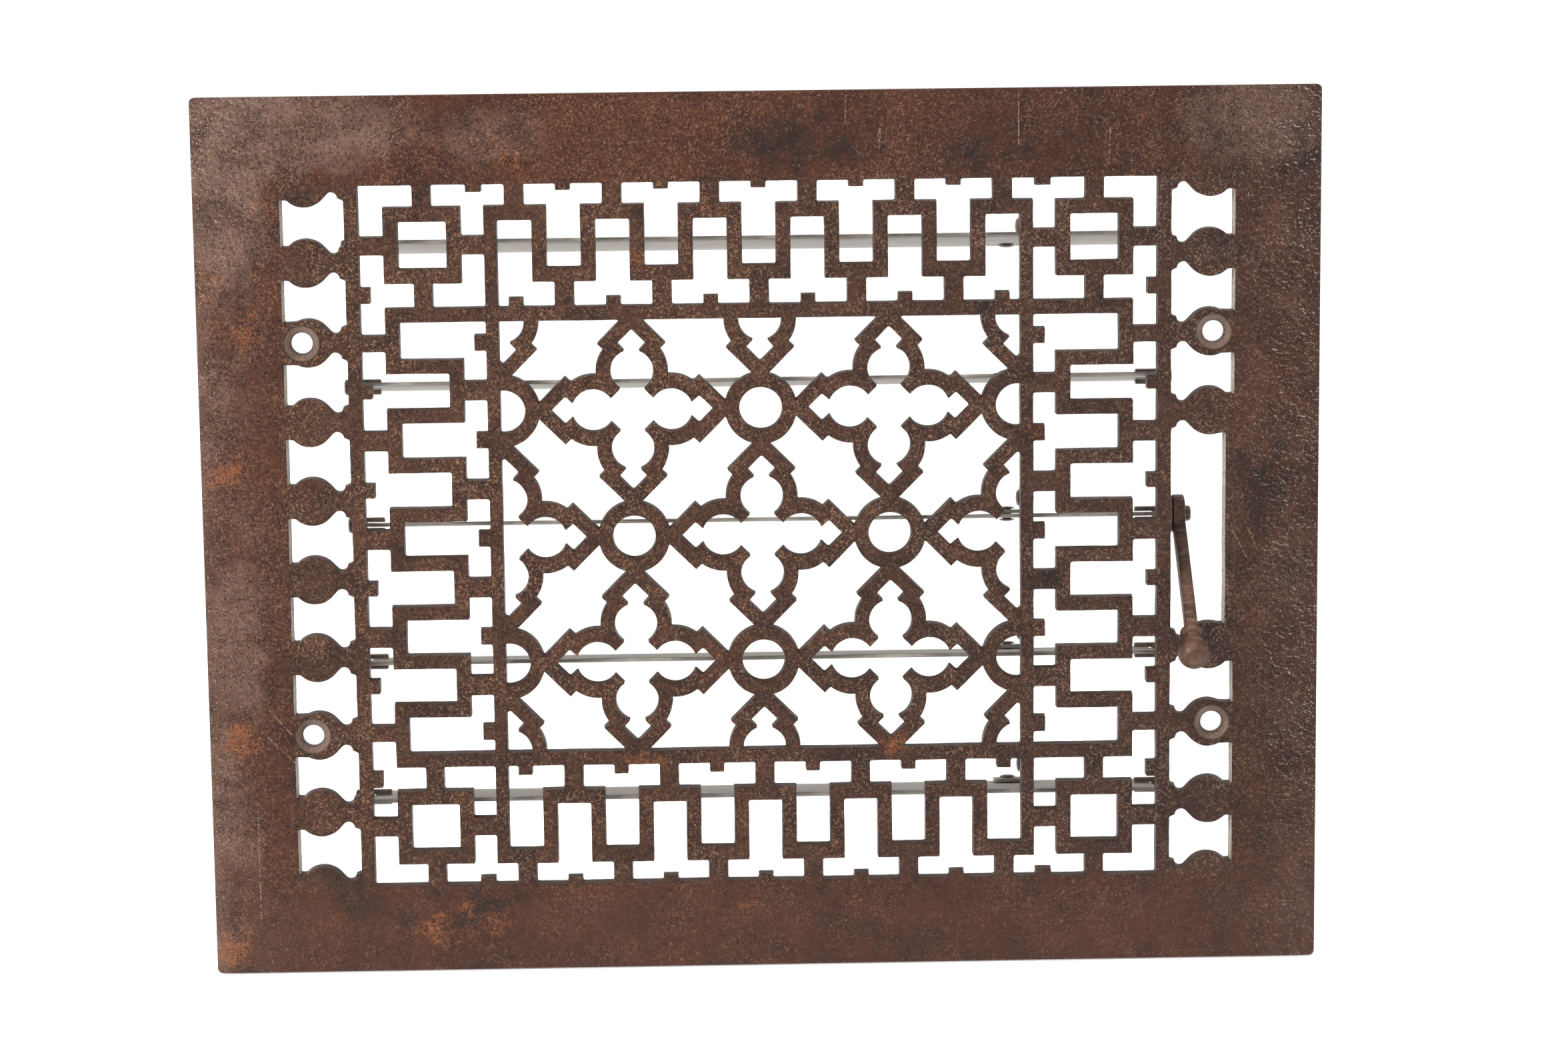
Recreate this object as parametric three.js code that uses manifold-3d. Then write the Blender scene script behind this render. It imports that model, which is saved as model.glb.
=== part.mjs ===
// Cast-iron wall register: a pierced face casting with a louvre valve behind it.
// Millimetres. +X is right and +Z is up on the face, which looks towards -Y.
// The back of the face, which lies on the wall, is the plane y = 0, and the valve is at y > 0.
import * as THREE from 'three';
import { mergeVertices } from 'three/addons/utils/BufferGeometryUtils.js';
import Module from 'manifold-3d';

const wasm = await Module();
wasm.setup();

// ---------------------------------------------------------------- driving dimensions

const GAP = 0.3;              // clearance between pieces that touch
const CLEAR = GAP + 0.05;     // radial clearance of every pin in its hole
const BAR = 4.45;             // width of every line of the fretwork

const FACE = { width: 353.2, height: 280.4, thickness: 4.5 };
const FIELD = { x: 149.6, z: 112.2 };              // half size of the pierced field
const OUTER_BAR = { inside: 125.25, outside: 129.25 };
const INNER_BAR = { inside: 82.0, outside: 86.0 };
const CROSS_BAR = { inside: 69.15, outside: 73.5 };

// Key pattern along the top and bottom of the face.
const KEY = {
  pitch: 30.58, teeHalf: 12.32, stemHalf: 5.39,
  lastTee: 2.5,                                   // pitches from the middle to the last standing tee
  lowRun: 81.45, highRun: 100.9,
  outerTab: { half: 2.24, deep: 2.05 },
  innerTab: { half: 2.2, deep: 2.93 },
};

// Key pattern down both sides of the lattice.
const SIDE_KEY = {
  pitch: 31.5, teeHalf: 12.76, stemHalf: 5.72,
  innerRun: 93.3, outerRun: 113.15,
  outerTab: { half: 2.2, deep: 3.2 },
  innerTab: { half: 2.42, deep: 3.67 },
  endTabDrop: 0.6,                                // the last inner tab sits this much low
};

// Square frame in each corner of the key pattern, and the ties that hold it.
const CORNER = {
  x0: 93.3, x1: 117.5, z0: 81.3, z1: 105.2,
  tieX0: 102.5, tieX1: 108.2, tieZ0: 90.35, tieZ1: 95.95,
  topTeeX: 79.45, sideTeeZ: 65.0,                 // where the openings beside the square end
  topTab: { half: 2.4, deep: 2.35, x: 89.1 },
  sideTab: { half: 2.4, deep: 3.2, z: 77.6 },
};

// Lattice of quatrefoils and rings in the middle.
const LATTICE = { pitch: 40.48, ringInner: 6.82, ringOuter: 11.29, ringSides: 14 };
const QUATREFOIL = {
  lobe: 12.32,                                    // lobe centre from the middle
  tipInner: 25.67, tipOuter: 31.83,               // points of the four arms
  shoulder: 21.12, neckX: 2.35, neckZ: 18.73,
  cuspNear: 3.81, cuspFar: 6.75,
  stepX: 8.95, stepZ: 19.36,
};

// Column of medallions at each side, and the lever slot that interrupts the right one.
const COLUMN = {
  inside: 129.5, pitch: 25.15,
  medallionX: 141.8, medallionR: 7.55,
  // where each kind of medallion's round edge ends, and how far below its middle it meets the wall
  plainFoot: { x: 147.2, drop: 5.1 }, fixingFoot: { x: 145.2, drop: 6.6 }, slotFoot: { x: 143.4, drop: 6.75 },
  pocketX: 133.25, pocketDrop: 4.8, pocketR: 1.98,
  stepX: 131.0, stepDrop: 4.85, wallDrop: 5.5,
};
const SLOT = { inside: 129.65, outside: 147.0, pitches: 1.5 };

const FIXING = { left: -143.8, right: 143.0, pitches: 2.5, holeR: 3.38, sinkR: 5.57, sinkDepth: 2.2 };

// Louvre valve.
const PIVOT = { y: 27.5, count: 5, pitch: 45 };
const OPEN_TILT = THREE.MathUtils.degToRad(9.3);
const BLADE = { halfLength: 127, halfWidth: 23.5, thickness: 1.2 };
const TRUNNION = { r: 2.5, inside: 121.5, outside: 133.2 };
const RAIL = { x0: 129.2, x1: 131.0, front: 21, back: 34, endZ: 119, openZ: 113 };
const FOOT = { x0: 121, top: 121.5, thickness: 2 };
const TIE = { halfLength: 128.9, z0: 113.5, z1: 120.5, thickness: 1.5 };
const VALVE_SCREW = {
  x: 125, z: 117.2, r: 1.9, depth: 2.9,
  headR: 3.9, crownR: 2.4, headHeight: 2.2, slotHalf: 0.5, slotDepth: 0.9,
};
const EAR = {
  x0: 86.2, x1: 87.7, footX0: 76.5, footY0: 9, footY1: 19, footThickness: 1.2,
  heelY: 22, pinY: 27, pinZ: 6, eyeR: 3.6,
  rivetX: 81, rivetY: 14, rivetR: 1.5, rivetHeadR: 2.6, rivetHeadHeight: 0.8,
};
const LINK = { x0: 88.3, x1: 89.8, half: 3.2, end: 4.2 };
const LINK_PIN = { r: 1.5, headR: 2.7, headHeight: 0.9 };
const LEVER = {
  x0: 133.5, x1: 137.5, hubR: 6.2, half: 2.5, length: 50,
  restAngle: THREE.MathUtils.degToRad(39), shaftEnd: 139.6,
};
const RIVET_CROWN = 0.7;      // crown of a rivet's head as a share of the head's radius
const SET_SCREW = { r: 1.3, length: 2.9 };
const WASHER_R = 6.6;
const KNOB = { r: 5.2, neckR: 2.7, collarR: 3.7, collar: 1.2, neck: 2.2, length: 14, ballFrom: -55 };

const ROUND = 8;              // curve steps in each half of a pin or of its hole
const OVER = 1;               // how far a cutting tool reaches past what it cuts
const WELD = 1e-4;            // vertices closer than this are one

// ---------------------------------------------------------------- materials

function metal(colour, roughness, metalness) {
  return new THREE.MeshStandardMaterial({ color: colour, roughness, metalness });
}
const castIron = metal(0x5a3e30, 0.8, 0.35);
const sheetSteel = metal(0xa8a39b, 0.55, 0.6);
const steelRod = metal(0x6a5c52, 0.45, 0.85);
const wornSteel = metal(0x7d6c60, 0.4, 0.85);

// ---------------------------------------------------------------- solids

// three.js geometry <-> closed solid, for cutting and joining
function toSolid(geometry) {
  const g = geometry.index ? geometry.toNonIndexed() : geometry.clone();
  g.deleteAttribute('normal');
  g.deleteAttribute('uv');
  const merged = mergeVertices(g, WELD);
  const triangles = [];
  for (let i = 0; i < merged.index.count; i += 3) {
    const [a, b, c] = merged.index.array.slice(i, i + 3);
    if (a !== b && b !== c && c !== a) triangles.push(a, b, c);
  }
  return new wasm.Manifold(new wasm.Mesh({
    numProp: 3,
    vertProperties: new Float32Array(merged.attributes.position.array),
    triVerts: new Uint32Array(triangles),
  }));
}

function toGeometry(solid) {
  const mesh = solid.getMesh();
  const geometry = new THREE.BufferGeometry();
  geometry.setAttribute('position', new THREE.BufferAttribute(new Float32Array(mesh.vertProperties), 3));
  geometry.setIndex(new THREE.BufferAttribute(new Uint32Array(mesh.triVerts), 1));
  return geometry;
}

function cut(geometry, tools) {
  return toGeometry(tools.reduce((solid, tool) => solid.subtract(toSolid(tool)), toSolid(geometry)));
}

function join(...pieces) {
  return toGeometry(pieces.map(toSolid).reduce((solid, piece) => solid.add(piece)));
}

// A plan view outline (x, y), from the plane z = bottom upwards
function fromBelow(shape, bottom, thickness) {
  const settings = { depth: thickness, bevelEnabled: false, curveSegments: ROUND };
  return new THREE.ExtrudeGeometry(shape, settings).translate(0, 0, bottom);
}

// A front view outline (x, z), from the plane y = back towards -Y
function fromFront(shape, back, thickness) {
  return fromBelow(shape, 0, thickness).rotateX(Math.PI / 2).translate(0, back, 0);
}

// A side view outline (y, z), extruded from x0 to x1
function fromSide(shape, x0, x1) {
  const basis = new THREE.Matrix4().makeBasis(
    new THREE.Vector3(0, 1, 0), new THREE.Vector3(0, 0, 1), new THREE.Vector3(1, 0, 0));
  return fromBelow(shape, 0, x1 - x0).applyMatrix4(basis).translate(x0, 0, 0);
}

function polygon(points) {
  return new THREE.Shape(points.map(([a, b]) => new THREE.Vector2(a, b)));
}

function disc(a, b, r) {
  const path = new THREE.Shape();
  path.absarc(a, b, r, 0, 2 * Math.PI, false);
  return path;
}

function box(x0, x1, y0, y1, z0, z1) {
  return new THREE.BoxGeometry(x1 - x0, y1 - y0, z1 - z0)
    .translate((x0 + x1) / 2, (y0 + y1) / 2, (z0 + z1) / 2);
}

// A turned piece: [radius, distance] pairs from one end of its axis to the other, along +X
function turned(profile, sides = 2 * ROUND) {
  const points = profile.map(([r, d]) => new THREE.Vector2(r, d));
  return new THREE.LatheGeometry(points, sides).rotateZ(-Math.PI / 2);
}

// ---------------------------------------------------------------- outlines of the openings

const flipX = (points) => points.map(([x, z]) => [-x, z]).reverse();
const flipZ = (points) => points.map(([x, z]) => [x, -z]).reverse();
const shift = (points, dx, dz) => points.map(([x, z]) => [x + dx, z + dz]);

// An opening in the upper right quarter, and its mirror images
function fourWays(points) {
  const upper = [points, flipX(points)];
  return [...upper, ...upper.map(flipZ)];
}

function arc(cx, cz, r, startDegrees, endDegrees, steps) {
  const points = [];
  for (let i = 0; i <= steps; i += 1) {
    const angle = THREE.MathUtils.degToRad(startDegrees + (endDegrees - startDegrees) * i / steps);
    points.push([cx + r * Math.cos(angle), cz + r * Math.sin(angle)]);
  }
  return points;
}

const degrees = (z, x) => THREE.MathUtils.radToDeg(Math.atan2(z, x));

// T-shaped opening against the top border, with a small tab hanging from the border
function hangingTee() {
  const { teeHalf, stemHalf, lowRun, highRun, outerTab } = KEY;
  const right = [
    [stemHalf, lowRun + BAR], [stemHalf, highRun + BAR], [teeHalf, highRun + BAR], [teeHalf, FIELD.z],
    [outerTab.half, FIELD.z], [outerTab.half, FIELD.z - outerTab.deep],
  ];
  return [...right, ...flipX(right)];
}

// T-shaped opening against the cross bar, with a small tab standing on the bar
function standingTee() {
  const { teeHalf, stemHalf, lowRun, highRun, innerTab } = KEY;
  const right = [
    [innerTab.half, CROSS_BAR.outside + innerTab.deep], [innerTab.half, CROSS_BAR.outside],
    [teeHalf, CROSS_BAR.outside], [teeHalf, lowRun], [stemHalf, lowRun], [stemHalf, highRun],
  ];
  return [...right, ...flipX(right)];
}

// The last standing tee is cut short by the inner vertical bar
function lastStandingTee() {
  const { pitch, teeHalf, stemHalf, lastTee, lowRun, highRun, innerTab } = KEY;
  const centre = lastTee * pitch;
  const floor = CROSS_BAR.outside;
  return [
    [centre - teeHalf, floor], [centre - innerTab.half, floor],
    [centre - innerTab.half, floor + innerTab.deep], [centre + innerTab.half, floor + innerTab.deep],
    [centre + innerTab.half, floor], [INNER_BAR.inside, floor], [INNER_BAR.inside, highRun],
    [centre - stemHalf, highRun], [centre - stemHalf, lowRun], [centre - teeHalf, lowRun],
  ];
}

function keyOpenings() {
  const hanging = [-2, -1, 0, 1, 2].map((i) => shift(hangingTee(), i * KEY.pitch, 0));
  const standing = [-1.5, -0.5, 0.5, 1.5].map((i) => shift(standingTee(), i * KEY.pitch, 0));
  const upper = [...hanging, ...standing];
  return [...upper, ...upper.map(flipZ), ...fourWays(lastStandingTee())];
}

// T lying on its side against the outer bar, on the right of the face
function outerSideTee() {
  const { teeHalf, stemHalf, innerRun, outerRun, outerTab } = SIDE_KEY;
  const wall = OUTER_BAR.inside;
  const upper = [
    [wall - outerTab.deep, outerTab.half], [wall, outerTab.half], [wall, teeHalf],
    [outerRun + BAR, teeHalf], [outerRun + BAR, stemHalf], [innerRun + BAR, stemHalf],
  ];
  return [...upper, ...flipZ(upper)];
}

// T lying on its side against the inner bar
function innerSideTee() {
  const { teeHalf, stemHalf, innerRun, outerRun, innerTab } = SIDE_KEY;
  const wall = INNER_BAR.outside;
  const upper = [
    [outerRun, stemHalf], [innerRun, stemHalf], [innerRun, teeHalf], [wall, teeHalf],
    [wall, innerTab.half], [wall + innerTab.deep, innerTab.half],
  ];
  return [...upper, ...flipZ(upper)];
}

// L-shaped opening where the side key meets the cross bar
function sideKeyEnd() {
  const { pitch, teeHalf, stemHalf, innerRun, outerRun, innerTab, endTabDrop } = SIDE_KEY;
  const wall = INNER_BAR.outside;
  const top = CROSS_BAR.inside;
  const tabZ = 2 * pitch - endTabDrop;
  return [
    [wall, 2 * pitch - teeHalf], [innerRun, 2 * pitch - teeHalf], [innerRun, 2 * pitch - stemHalf],
    [outerRun, 2 * pitch - stemHalf], [outerRun, top], [wall, top],
    [wall, tabZ + innerTab.half], [wall + innerTab.deep, tabZ + innerTab.half],
    [wall + innerTab.deep, tabZ - innerTab.half], [wall, tabZ - innerTab.half],
  ];
}

function sideKeyOpenings() {
  const { pitch } = SIDE_KEY;
  const outer = [-1.5, -0.5, 0.5, 1.5].map((i) => shift(outerSideTee(), 0, i * pitch));
  const inner = [-1, 0, 1].map((i) => shift(innerSideTee(), 0, i * pitch));
  const right = [...outer, ...inner];
  return [...right, ...right.map(flipX), ...fourWays(sideKeyEnd())];
}

function cornerOpenings() {
  const { x0, x1, z0, z1, tieX0, tieX1, tieZ0, tieZ1, topTeeX, sideTeeZ, topTab, sideTab } = CORNER;
  const inner = INNER_BAR.outside;
  const outer = OUTER_BAR.inside;
  const floor = CROSS_BAR.outside;
  const top = FIELD.z;
  const square = [[x0 + BAR, z0 + BAR], [x1 - BAR, z0 + BAR], [x1 - BAR, z1 - BAR], [x0 + BAR, z1 - BAR]];
  const topTee = [
    [inner, tieZ1], [x0, tieZ1], [x0, z1], [tieX0, z1], [tieX0, top],
    [topTab.x + topTab.half, top], [topTab.x + topTab.half, top - topTab.deep],
    [topTab.x - topTab.half, top - topTab.deep], [topTab.x - topTab.half, top],
    [topTeeX, top], [topTeeX, KEY.highRun + BAR], [inner, KEY.highRun + BAR],
  ];
  const outerEll = [[tieX1, z1], [x1, z1], [x1, tieZ1], [outer, tieZ1], [outer, top], [tieX1, top]];
  const innerEll = [[inner, floor], [tieX0, floor], [tieX0, z0], [x0, z0], [x0, tieZ0], [inner, tieZ0]];
  const sideTee = [
    [tieX1, floor], [x1, floor], [x1, sideTeeZ], [outer, sideTeeZ],
    [outer, sideTab.z - sideTab.half], [outer - sideTab.deep, sideTab.z - sideTab.half],
    [outer - sideTab.deep, sideTab.z + sideTab.half], [outer, sideTab.z + sideTab.half],
    [outer, tieZ0], [x1, tieZ0], [x1, z0], [tieX1, z0],
  ];
  return [square, topTee, outerEll, innerEll, sideTee].flatMap(fourWays);
}

// ---- the lattice

// Inside of a quatrefoil: four lobes with pointed arms, joined round the middle
function quatrefoilInside() {
  const q = QUATREFOIL;
  const cusp = degrees(q.cuspFar - q.lobe, q.cuspNear);
  const neck = degrees(q.neckZ - q.lobe, q.neckX);
  const rightHalf = [
    ...arc(0, q.lobe, LATTICE.ringInner, cusp, neck, 5),
    [q.tipInner - q.shoulder, q.shoulder],
  ];
  const arm = [...rightHalf, [0, q.tipInner], ...flipX(rightHalf)];
  const quarterTurn = (points) => points.map(([x, z]) => [-z, x]);
  const arms = [arm];
  for (let i = 1; i < 4; i += 1) arms.push(quarterTurn(arms[i - 1]));
  return arms.flat();
}

// Opening between two quatrefoils and two rings, about its own middle
function latticeGap() {
  const q = QUATREFOIL;
  const half = LATTICE.pitch / 2;
  const r = LATTICE.ringOuter;
  const meet = (q.lobe + Math.sqrt(2 * r * r - q.lobe * q.lobe)) / 2;
  // where the point of an arm runs into the ring
  const rise = LATTICE.pitch - q.tipOuter;
  const tipX = (Math.sqrt(2 * r * r - rise * rise) - rise) / 2;
  const shoulderX = q.tipOuter - q.shoulder;
  const armSide = [
    [tipX, q.tipOuter - tipX], [shoulderX, q.shoulder],
    ...arc(0, q.lobe, r, degrees(q.stepZ - q.lobe, q.stepX), degrees(meet - q.lobe, meet), 3),
  ];
  const mirrored = armSide.map(([x, z]) => [z, x]).reverse().slice(1);
  const ringStart = degrees(tipX, q.tipOuter - tipX - LATTICE.pitch);
  const ring = arc(LATTICE.pitch, 0, r, ringStart, 270 - ringStart, 4).slice(1, -1);
  const halfway = shift([...armSide, ...mirrored, ...ring], -half, -half);
  return [...halfway, ...halfway.map(([x, z]) => [-x, -z])];
}

// Part of an outline on the near side of a limit along one axis (0 for x, 1 for z)
function clipAt(points, axis, sign, limit) {
  const kept = [];
  points.forEach((point, i) => {
    const next = points[(i + 1) % points.length];
    const here = limit - sign * point[axis];
    const there = limit - sign * next[axis];
    if (here >= 0) kept.push(point);
    if (here * there < 0) {
      const t = here / (here - there);
      kept.push([point[0] + t * (next[0] - point[0]), point[1] + t * (next[1] - point[1])]);
    }
  });
  return kept;
}

function clipToPanel(points) {
  let kept = points;
  for (const sign of [1, -1]) {
    kept = clipAt(kept, 0, sign, INNER_BAR.inside);
    kept = clipAt(kept, 1, sign, CROSS_BAR.inside);
  }
  return kept;
}

function latticeOpenings() {
  const { pitch, ringInner, ringSides } = LATTICE;
  const ring = arc(0, 0, ringInner, 0, 360, ringSides).slice(1);
  const openings = [];
  for (let i = -2; i <= 2; i += 1) {
    for (let j = -2; j <= 2; j += 1) {
      const isQuatrefoil = (i + j) % 2 === 0;
      openings.push(shift(isQuatrefoil ? quatrefoilInside() : ring, i * pitch, j * pitch));
    }
  }
  for (let i = -2; i < 2; i += 1) {
    for (let j = -2; j < 2; j += 1) {
      const isPlain = (i + j) % 2 === 0;
      const gap = isPlain ? latticeGap() : flipX(latticeGap());
      openings.push(shift(gap, (i + 0.5) * pitch, (j + 0.5) * pitch));
    }
  }
  return openings.map(clipToPanel).filter((points) => points.length > 2);
}

// ---- the side columns

// Lower edge of the medallion centred at z, from the outer wall of the column to the inner one
function underMedallion(z, outerWall, innerWall, foot) {
  const c = COLUMN;
  const pocketZ = z - c.pocketDrop;
  const dx = c.pocketX - c.medallionX;
  const dz = pocketZ - z;
  const toPocket = degrees(dz, dx);
  const swing = THREE.MathUtils.radToDeg(Math.acos((c.medallionR + c.pocketR) / Math.hypot(dx, dz)));
  const reach = foot.x - c.medallionX;
  const start = degrees(-Math.sqrt(c.medallionR ** 2 - reach ** 2), reach);
  return [
    [outerWall, z - foot.drop],
    ...arc(c.medallionX, z, c.medallionR, start, toPocket + swing, 5),
    ...arc(c.pocketX, pocketZ, c.pocketR, toPocket + swing + 180, 180, 4),
    [c.stepX, z - c.stepDrop], [innerWall, z - c.wallDrop],
  ];
}

// Opening between two medallions that are 2 * reach apart
function columnOpening(reach, outerWall, innerWall, footAbove, footBelow) {
  return [
    ...underMedallion(reach, outerWall, innerWall, footAbove),
    ...flipZ(underMedallion(reach, outerWall, innerWall, footBelow)),
  ];
}

function columnOpenings() {
  const { pitch, inside, plainFoot, fixingFoot, slotFoot } = COLUMN;
  const footAt = (i) => (Math.abs(i) === FIXING.pitches ? fixingFoot : plainFoot);
  const opening = (i) => shift(
    columnOpening(pitch / 2, FIELD.x, inside, footAt(i + 0.5), footAt(i - 0.5)), 0, i * pitch);
  const left = [-4, -3, -2, -1, 0, 1, 2, 3, 4].map((i) => flipX(opening(i)));
  const right = [-4, -3, -2, 2, 3, 4].map(opening);
  const slot = columnOpening(SLOT.pitches * pitch, SLOT.outside, SLOT.inside, slotFoot, slotFoot);
  return [...left, ...right, slot];
}

// ---------------------------------------------------------------- the face casting

function atFourCorners(x, z, make) {
  return [[x, z], [-x, z], [x, -z], [-x, -z]].map(([a, b]) => make(a, b));
}

function faceCasting() {
  const front = -FACE.thickness;
  const slab = box(-FACE.width / 2, FACE.width / 2, front, 0, -FACE.height / 2, FACE.height / 2);
  const outlines = [...keyOpenings(), ...sideKeyOpenings(), ...cornerOpenings(), ...latticeOpenings(),
    ...columnOpenings()];
  const openings = outlines.map((points) => fromFront(polygon(points), OVER, FACE.thickness + 2 * OVER));
  const fixingZ = FIXING.pitches * COLUMN.pitch;
  const fixings = [FIXING.left, FIXING.right].flatMap((a) => [fixingZ, -fixingZ].map((b) => turned([
    [0, front - OVER], [FIXING.sinkR + OVER, front - OVER], [FIXING.holeR, front + FIXING.sinkDepth],
    [FIXING.holeR, OVER], [0, OVER],
  ], 3 * ROUND).rotateZ(Math.PI / 2).translate(a, 0, b)));
  const tapped = atFourCorners(VALVE_SCREW.x, VALVE_SCREW.z, (a, b) => fromFront(
    disc(a, b, VALVE_SCREW.r + CLEAR), OVER, VALVE_SCREW.depth + GAP + OVER));
  return cut(slab, [...openings, ...fixings, ...tapped]);
}

// ---------------------------------------------------------------- the valve frame

// Right-hand rail; the left one is its mirror image
function railProfile(holes) {
  const { front, back, endZ, openZ } = RAIL;
  const shape = polygon([
    [GAP, -endZ], [back, -endZ], [back, endZ], [GAP, endZ], [GAP, openZ], [front, openZ],
    [front, -openZ], [GAP, -openZ],
  ]);
  shape.holes = holes;
  return shape;
}

const pivotHeights = Array.from(
  { length: PIVOT.count }, (_, i) => ((PIVOT.count - 1) / 2 - i) * PIVOT.pitch);

function sideRail(side) {
  const holes = pivotHeights.map((z) => disc(PIVOT.y, z, TRUNNION.r + CLEAR));
  const [x0, x1] = side > 0 ? [RAIL.x0, RAIL.x1] : [-RAIL.x1, -RAIL.x0];
  const web = fromSide(railProfile(holes), x0, x1);
  const feet = [1, -1].map((end) => {
    const corner = [[FOOT.x0, RAIL.openZ], [RAIL.x1, RAIL.openZ], [RAIL.x1, FOOT.top], [FOOT.x0, FOOT.top]];
    const foot = polygon(corner.map(([x, z]) => [side * x, end * z]));
    foot.holes = [disc(side * VALVE_SCREW.x, end * VALVE_SCREW.z, VALVE_SCREW.r + CLEAR)];
    return fromFront(foot, GAP + FOOT.thickness, FOOT.thickness);
  });
  return join(web, ...feet);
}

function tieBar(end) {
  const { halfLength, z0, z1, thickness } = TIE;
  const shape = polygon([
    [-halfLength, end * z0], [halfLength, end * z0], [halfLength, end * z1], [-halfLength, end * z1],
  ]);
  const { x, z, r } = VALVE_SCREW;
  shape.holes = [1, -1].map((side) => disc(side * x, end * z, r + CLEAR));
  return fromFront(shape, 2 * GAP + FOOT.thickness + thickness, thickness);
}

// Round-head screw from behind, through the tie and the rail's foot into the face
function valveScrew() {
  const { r, headR, crownR, headHeight, depth, slotHalf, slotDepth } = VALVE_SCREW;
  const seat = 3 * GAP + FOOT.thickness + TIE.thickness;
  const body = turned([
    [0, -depth], [r, -depth], [r, seat], [headR, seat], [headR, seat + headHeight / 2],
    [crownR, seat + headHeight], [0, seat + headHeight],
  ]).rotateZ(Math.PI / 2);
  const top = seat + headHeight;
  return cut(body, [box(-headR - OVER, headR + OVER, top - slotDepth, top + OVER, -slotHalf, slotHalf)]);
}

// ---------------------------------------------------------------- one louvre, about its own pivot

// Sheet blade lying flat, with a rivet hole for the ear
function blade() {
  const { halfLength, halfWidth, thickness } = BLADE;
  const shape = polygon([
    [-halfLength, -halfWidth], [halfLength, -halfWidth], [halfLength, halfWidth], [-halfLength, halfWidth],
  ]);
  shape.holes = [disc(EAR.rivetX, EAR.rivetY, EAR.rivetR + CLEAR)];
  return fromBelow(shape, -thickness / 2, thickness);
}

// Pivot pin whose split inner end grips the end of the blade
function trunnion(side, outside) {
  const pin = fromSide(disc(0, 0, TRUNNION.r), TRUNNION.inside, outside);
  const slit = BLADE.thickness / 2 + GAP;
  const wide = TRUNNION.r + OVER;
  const slot = box(TRUNNION.inside - OVER, BLADE.halfLength + GAP, -wide, wide, -slit, slit);
  const geometry = cut(pin, [slot]);
  return side > 0 ? geometry : geometry.rotateZ(Math.PI);
}

// Bent ear on the upper side of the blade, which carries the link pin
function ear() {
  const e = EAR;
  const seat = BLADE.thickness / 2 + GAP;
  const web = new THREE.Shape();
  web.moveTo(e.footY0, seat);
  web.lineTo(e.heelY, seat);
  web.absarc(e.pinY, e.pinZ, e.eyeR, -Math.PI / 2, Math.PI / 2, false);
  web.lineTo(e.footY0, seat + e.footThickness);
  web.holes = [disc(e.pinY, e.pinZ, LINK_PIN.r + CLEAR)];
  const footShape = polygon([
    [e.footX0, e.footY0], [e.x1, e.footY0], [e.x1, e.footY1], [e.footX0, e.footY1],
  ]);
  footShape.holes = [disc(e.rivetX, e.rivetY, e.rivetR + CLEAR)];
  return join(fromSide(web, e.x0, e.x1), fromBelow(footShape, seat, e.footThickness));
}

// Rivet with a head on both sides of what it holds, from 0 to grip along +X
function rivet(r, headR, headHeight, grip) {
  return turned([
    [0, -headHeight], [headR * RIVET_CROWN, -headHeight], [headR, 0], [r, 0], [r, grip], [headR, grip],
    [headR * RIVET_CROWN, grip + headHeight], [0, grip + headHeight],
  ]);
}

function earRivet() {
  const half = BLADE.thickness / 2;
  const grip = BLADE.thickness + EAR.footThickness + 3 * GAP;
  return rivet(EAR.rivetR, EAR.rivetHeadR, EAR.rivetHeadHeight, grip).rotateY(-Math.PI / 2)
    .translate(EAR.rivetX, EAR.rivetY, -half - GAP);
}

function linkPin() {
  const start = EAR.x0 - GAP;
  return rivet(LINK_PIN.r, LINK_PIN.headR, LINK_PIN.headHeight, LINK.x1 + GAP - start)
    .translate(start, EAR.pinY, EAR.pinZ);
}

// ---------------------------------------------------------------- link bar and lever

// Where a link pin is, seen from its pivot, with the louvres open
const pinOpen = {
  y: EAR.pinY * Math.cos(OPEN_TILT) + EAR.pinZ * Math.sin(OPEN_TILT),
  z: EAR.pinZ * Math.cos(OPEN_TILT) - EAR.pinY * Math.sin(OPEN_TILT),
};

function linkBar() {
  const y = PIVOT.y + pinOpen.y;
  const top = pivotHeights[0] + pinOpen.z + LINK.end;
  const bottom = pivotHeights[PIVOT.count - 1] + pinOpen.z - LINK.end;
  const shape = polygon([
    [y - LINK.half, bottom], [y + LINK.half, bottom], [y + LINK.half, top], [y - LINK.half, top],
  ]);
  shape.holes = pivotHeights.map((z) => disc(y, z + pinOpen.z, LINK_PIN.r + CLEAR));
  return fromSide(shape, LINK.x0, LINK.x1);
}

// Lever about its pivot, pointing towards -Y, with a tapped hole for the set screw in its hub
function leverArm() {
  const { x0, x1, hubR, half, length } = LEVER;
  const shape = new THREE.Shape();
  const side = Math.asin(half / hubR);
  shape.absarc(0, 0, hubR, side - Math.PI, Math.PI - side, false);
  shape.lineTo(-length, half);
  shape.lineTo(-length, -half);
  shape.holes = [disc(0, 0, TRUNNION.r + CLEAR)];
  const hole = fromFront(disc((x0 + x1) / 2, 0, SET_SCREW.r + CLEAR), hubR + OVER, hubR);
  return cut(fromSide(shape, x0, x1), [hole]);
}

function setScrew() {
  const start = TRUNNION.r + GAP;
  return turned([[0, start], [SET_SCREW.r, start], [SET_SCREW.r, start + SET_SCREW.length],
    [0, start + SET_SCREW.length]]).rotateZ(Math.PI / 2).translate((LEVER.x0 + LEVER.x1) / 2, 0, 0);
}

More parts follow.
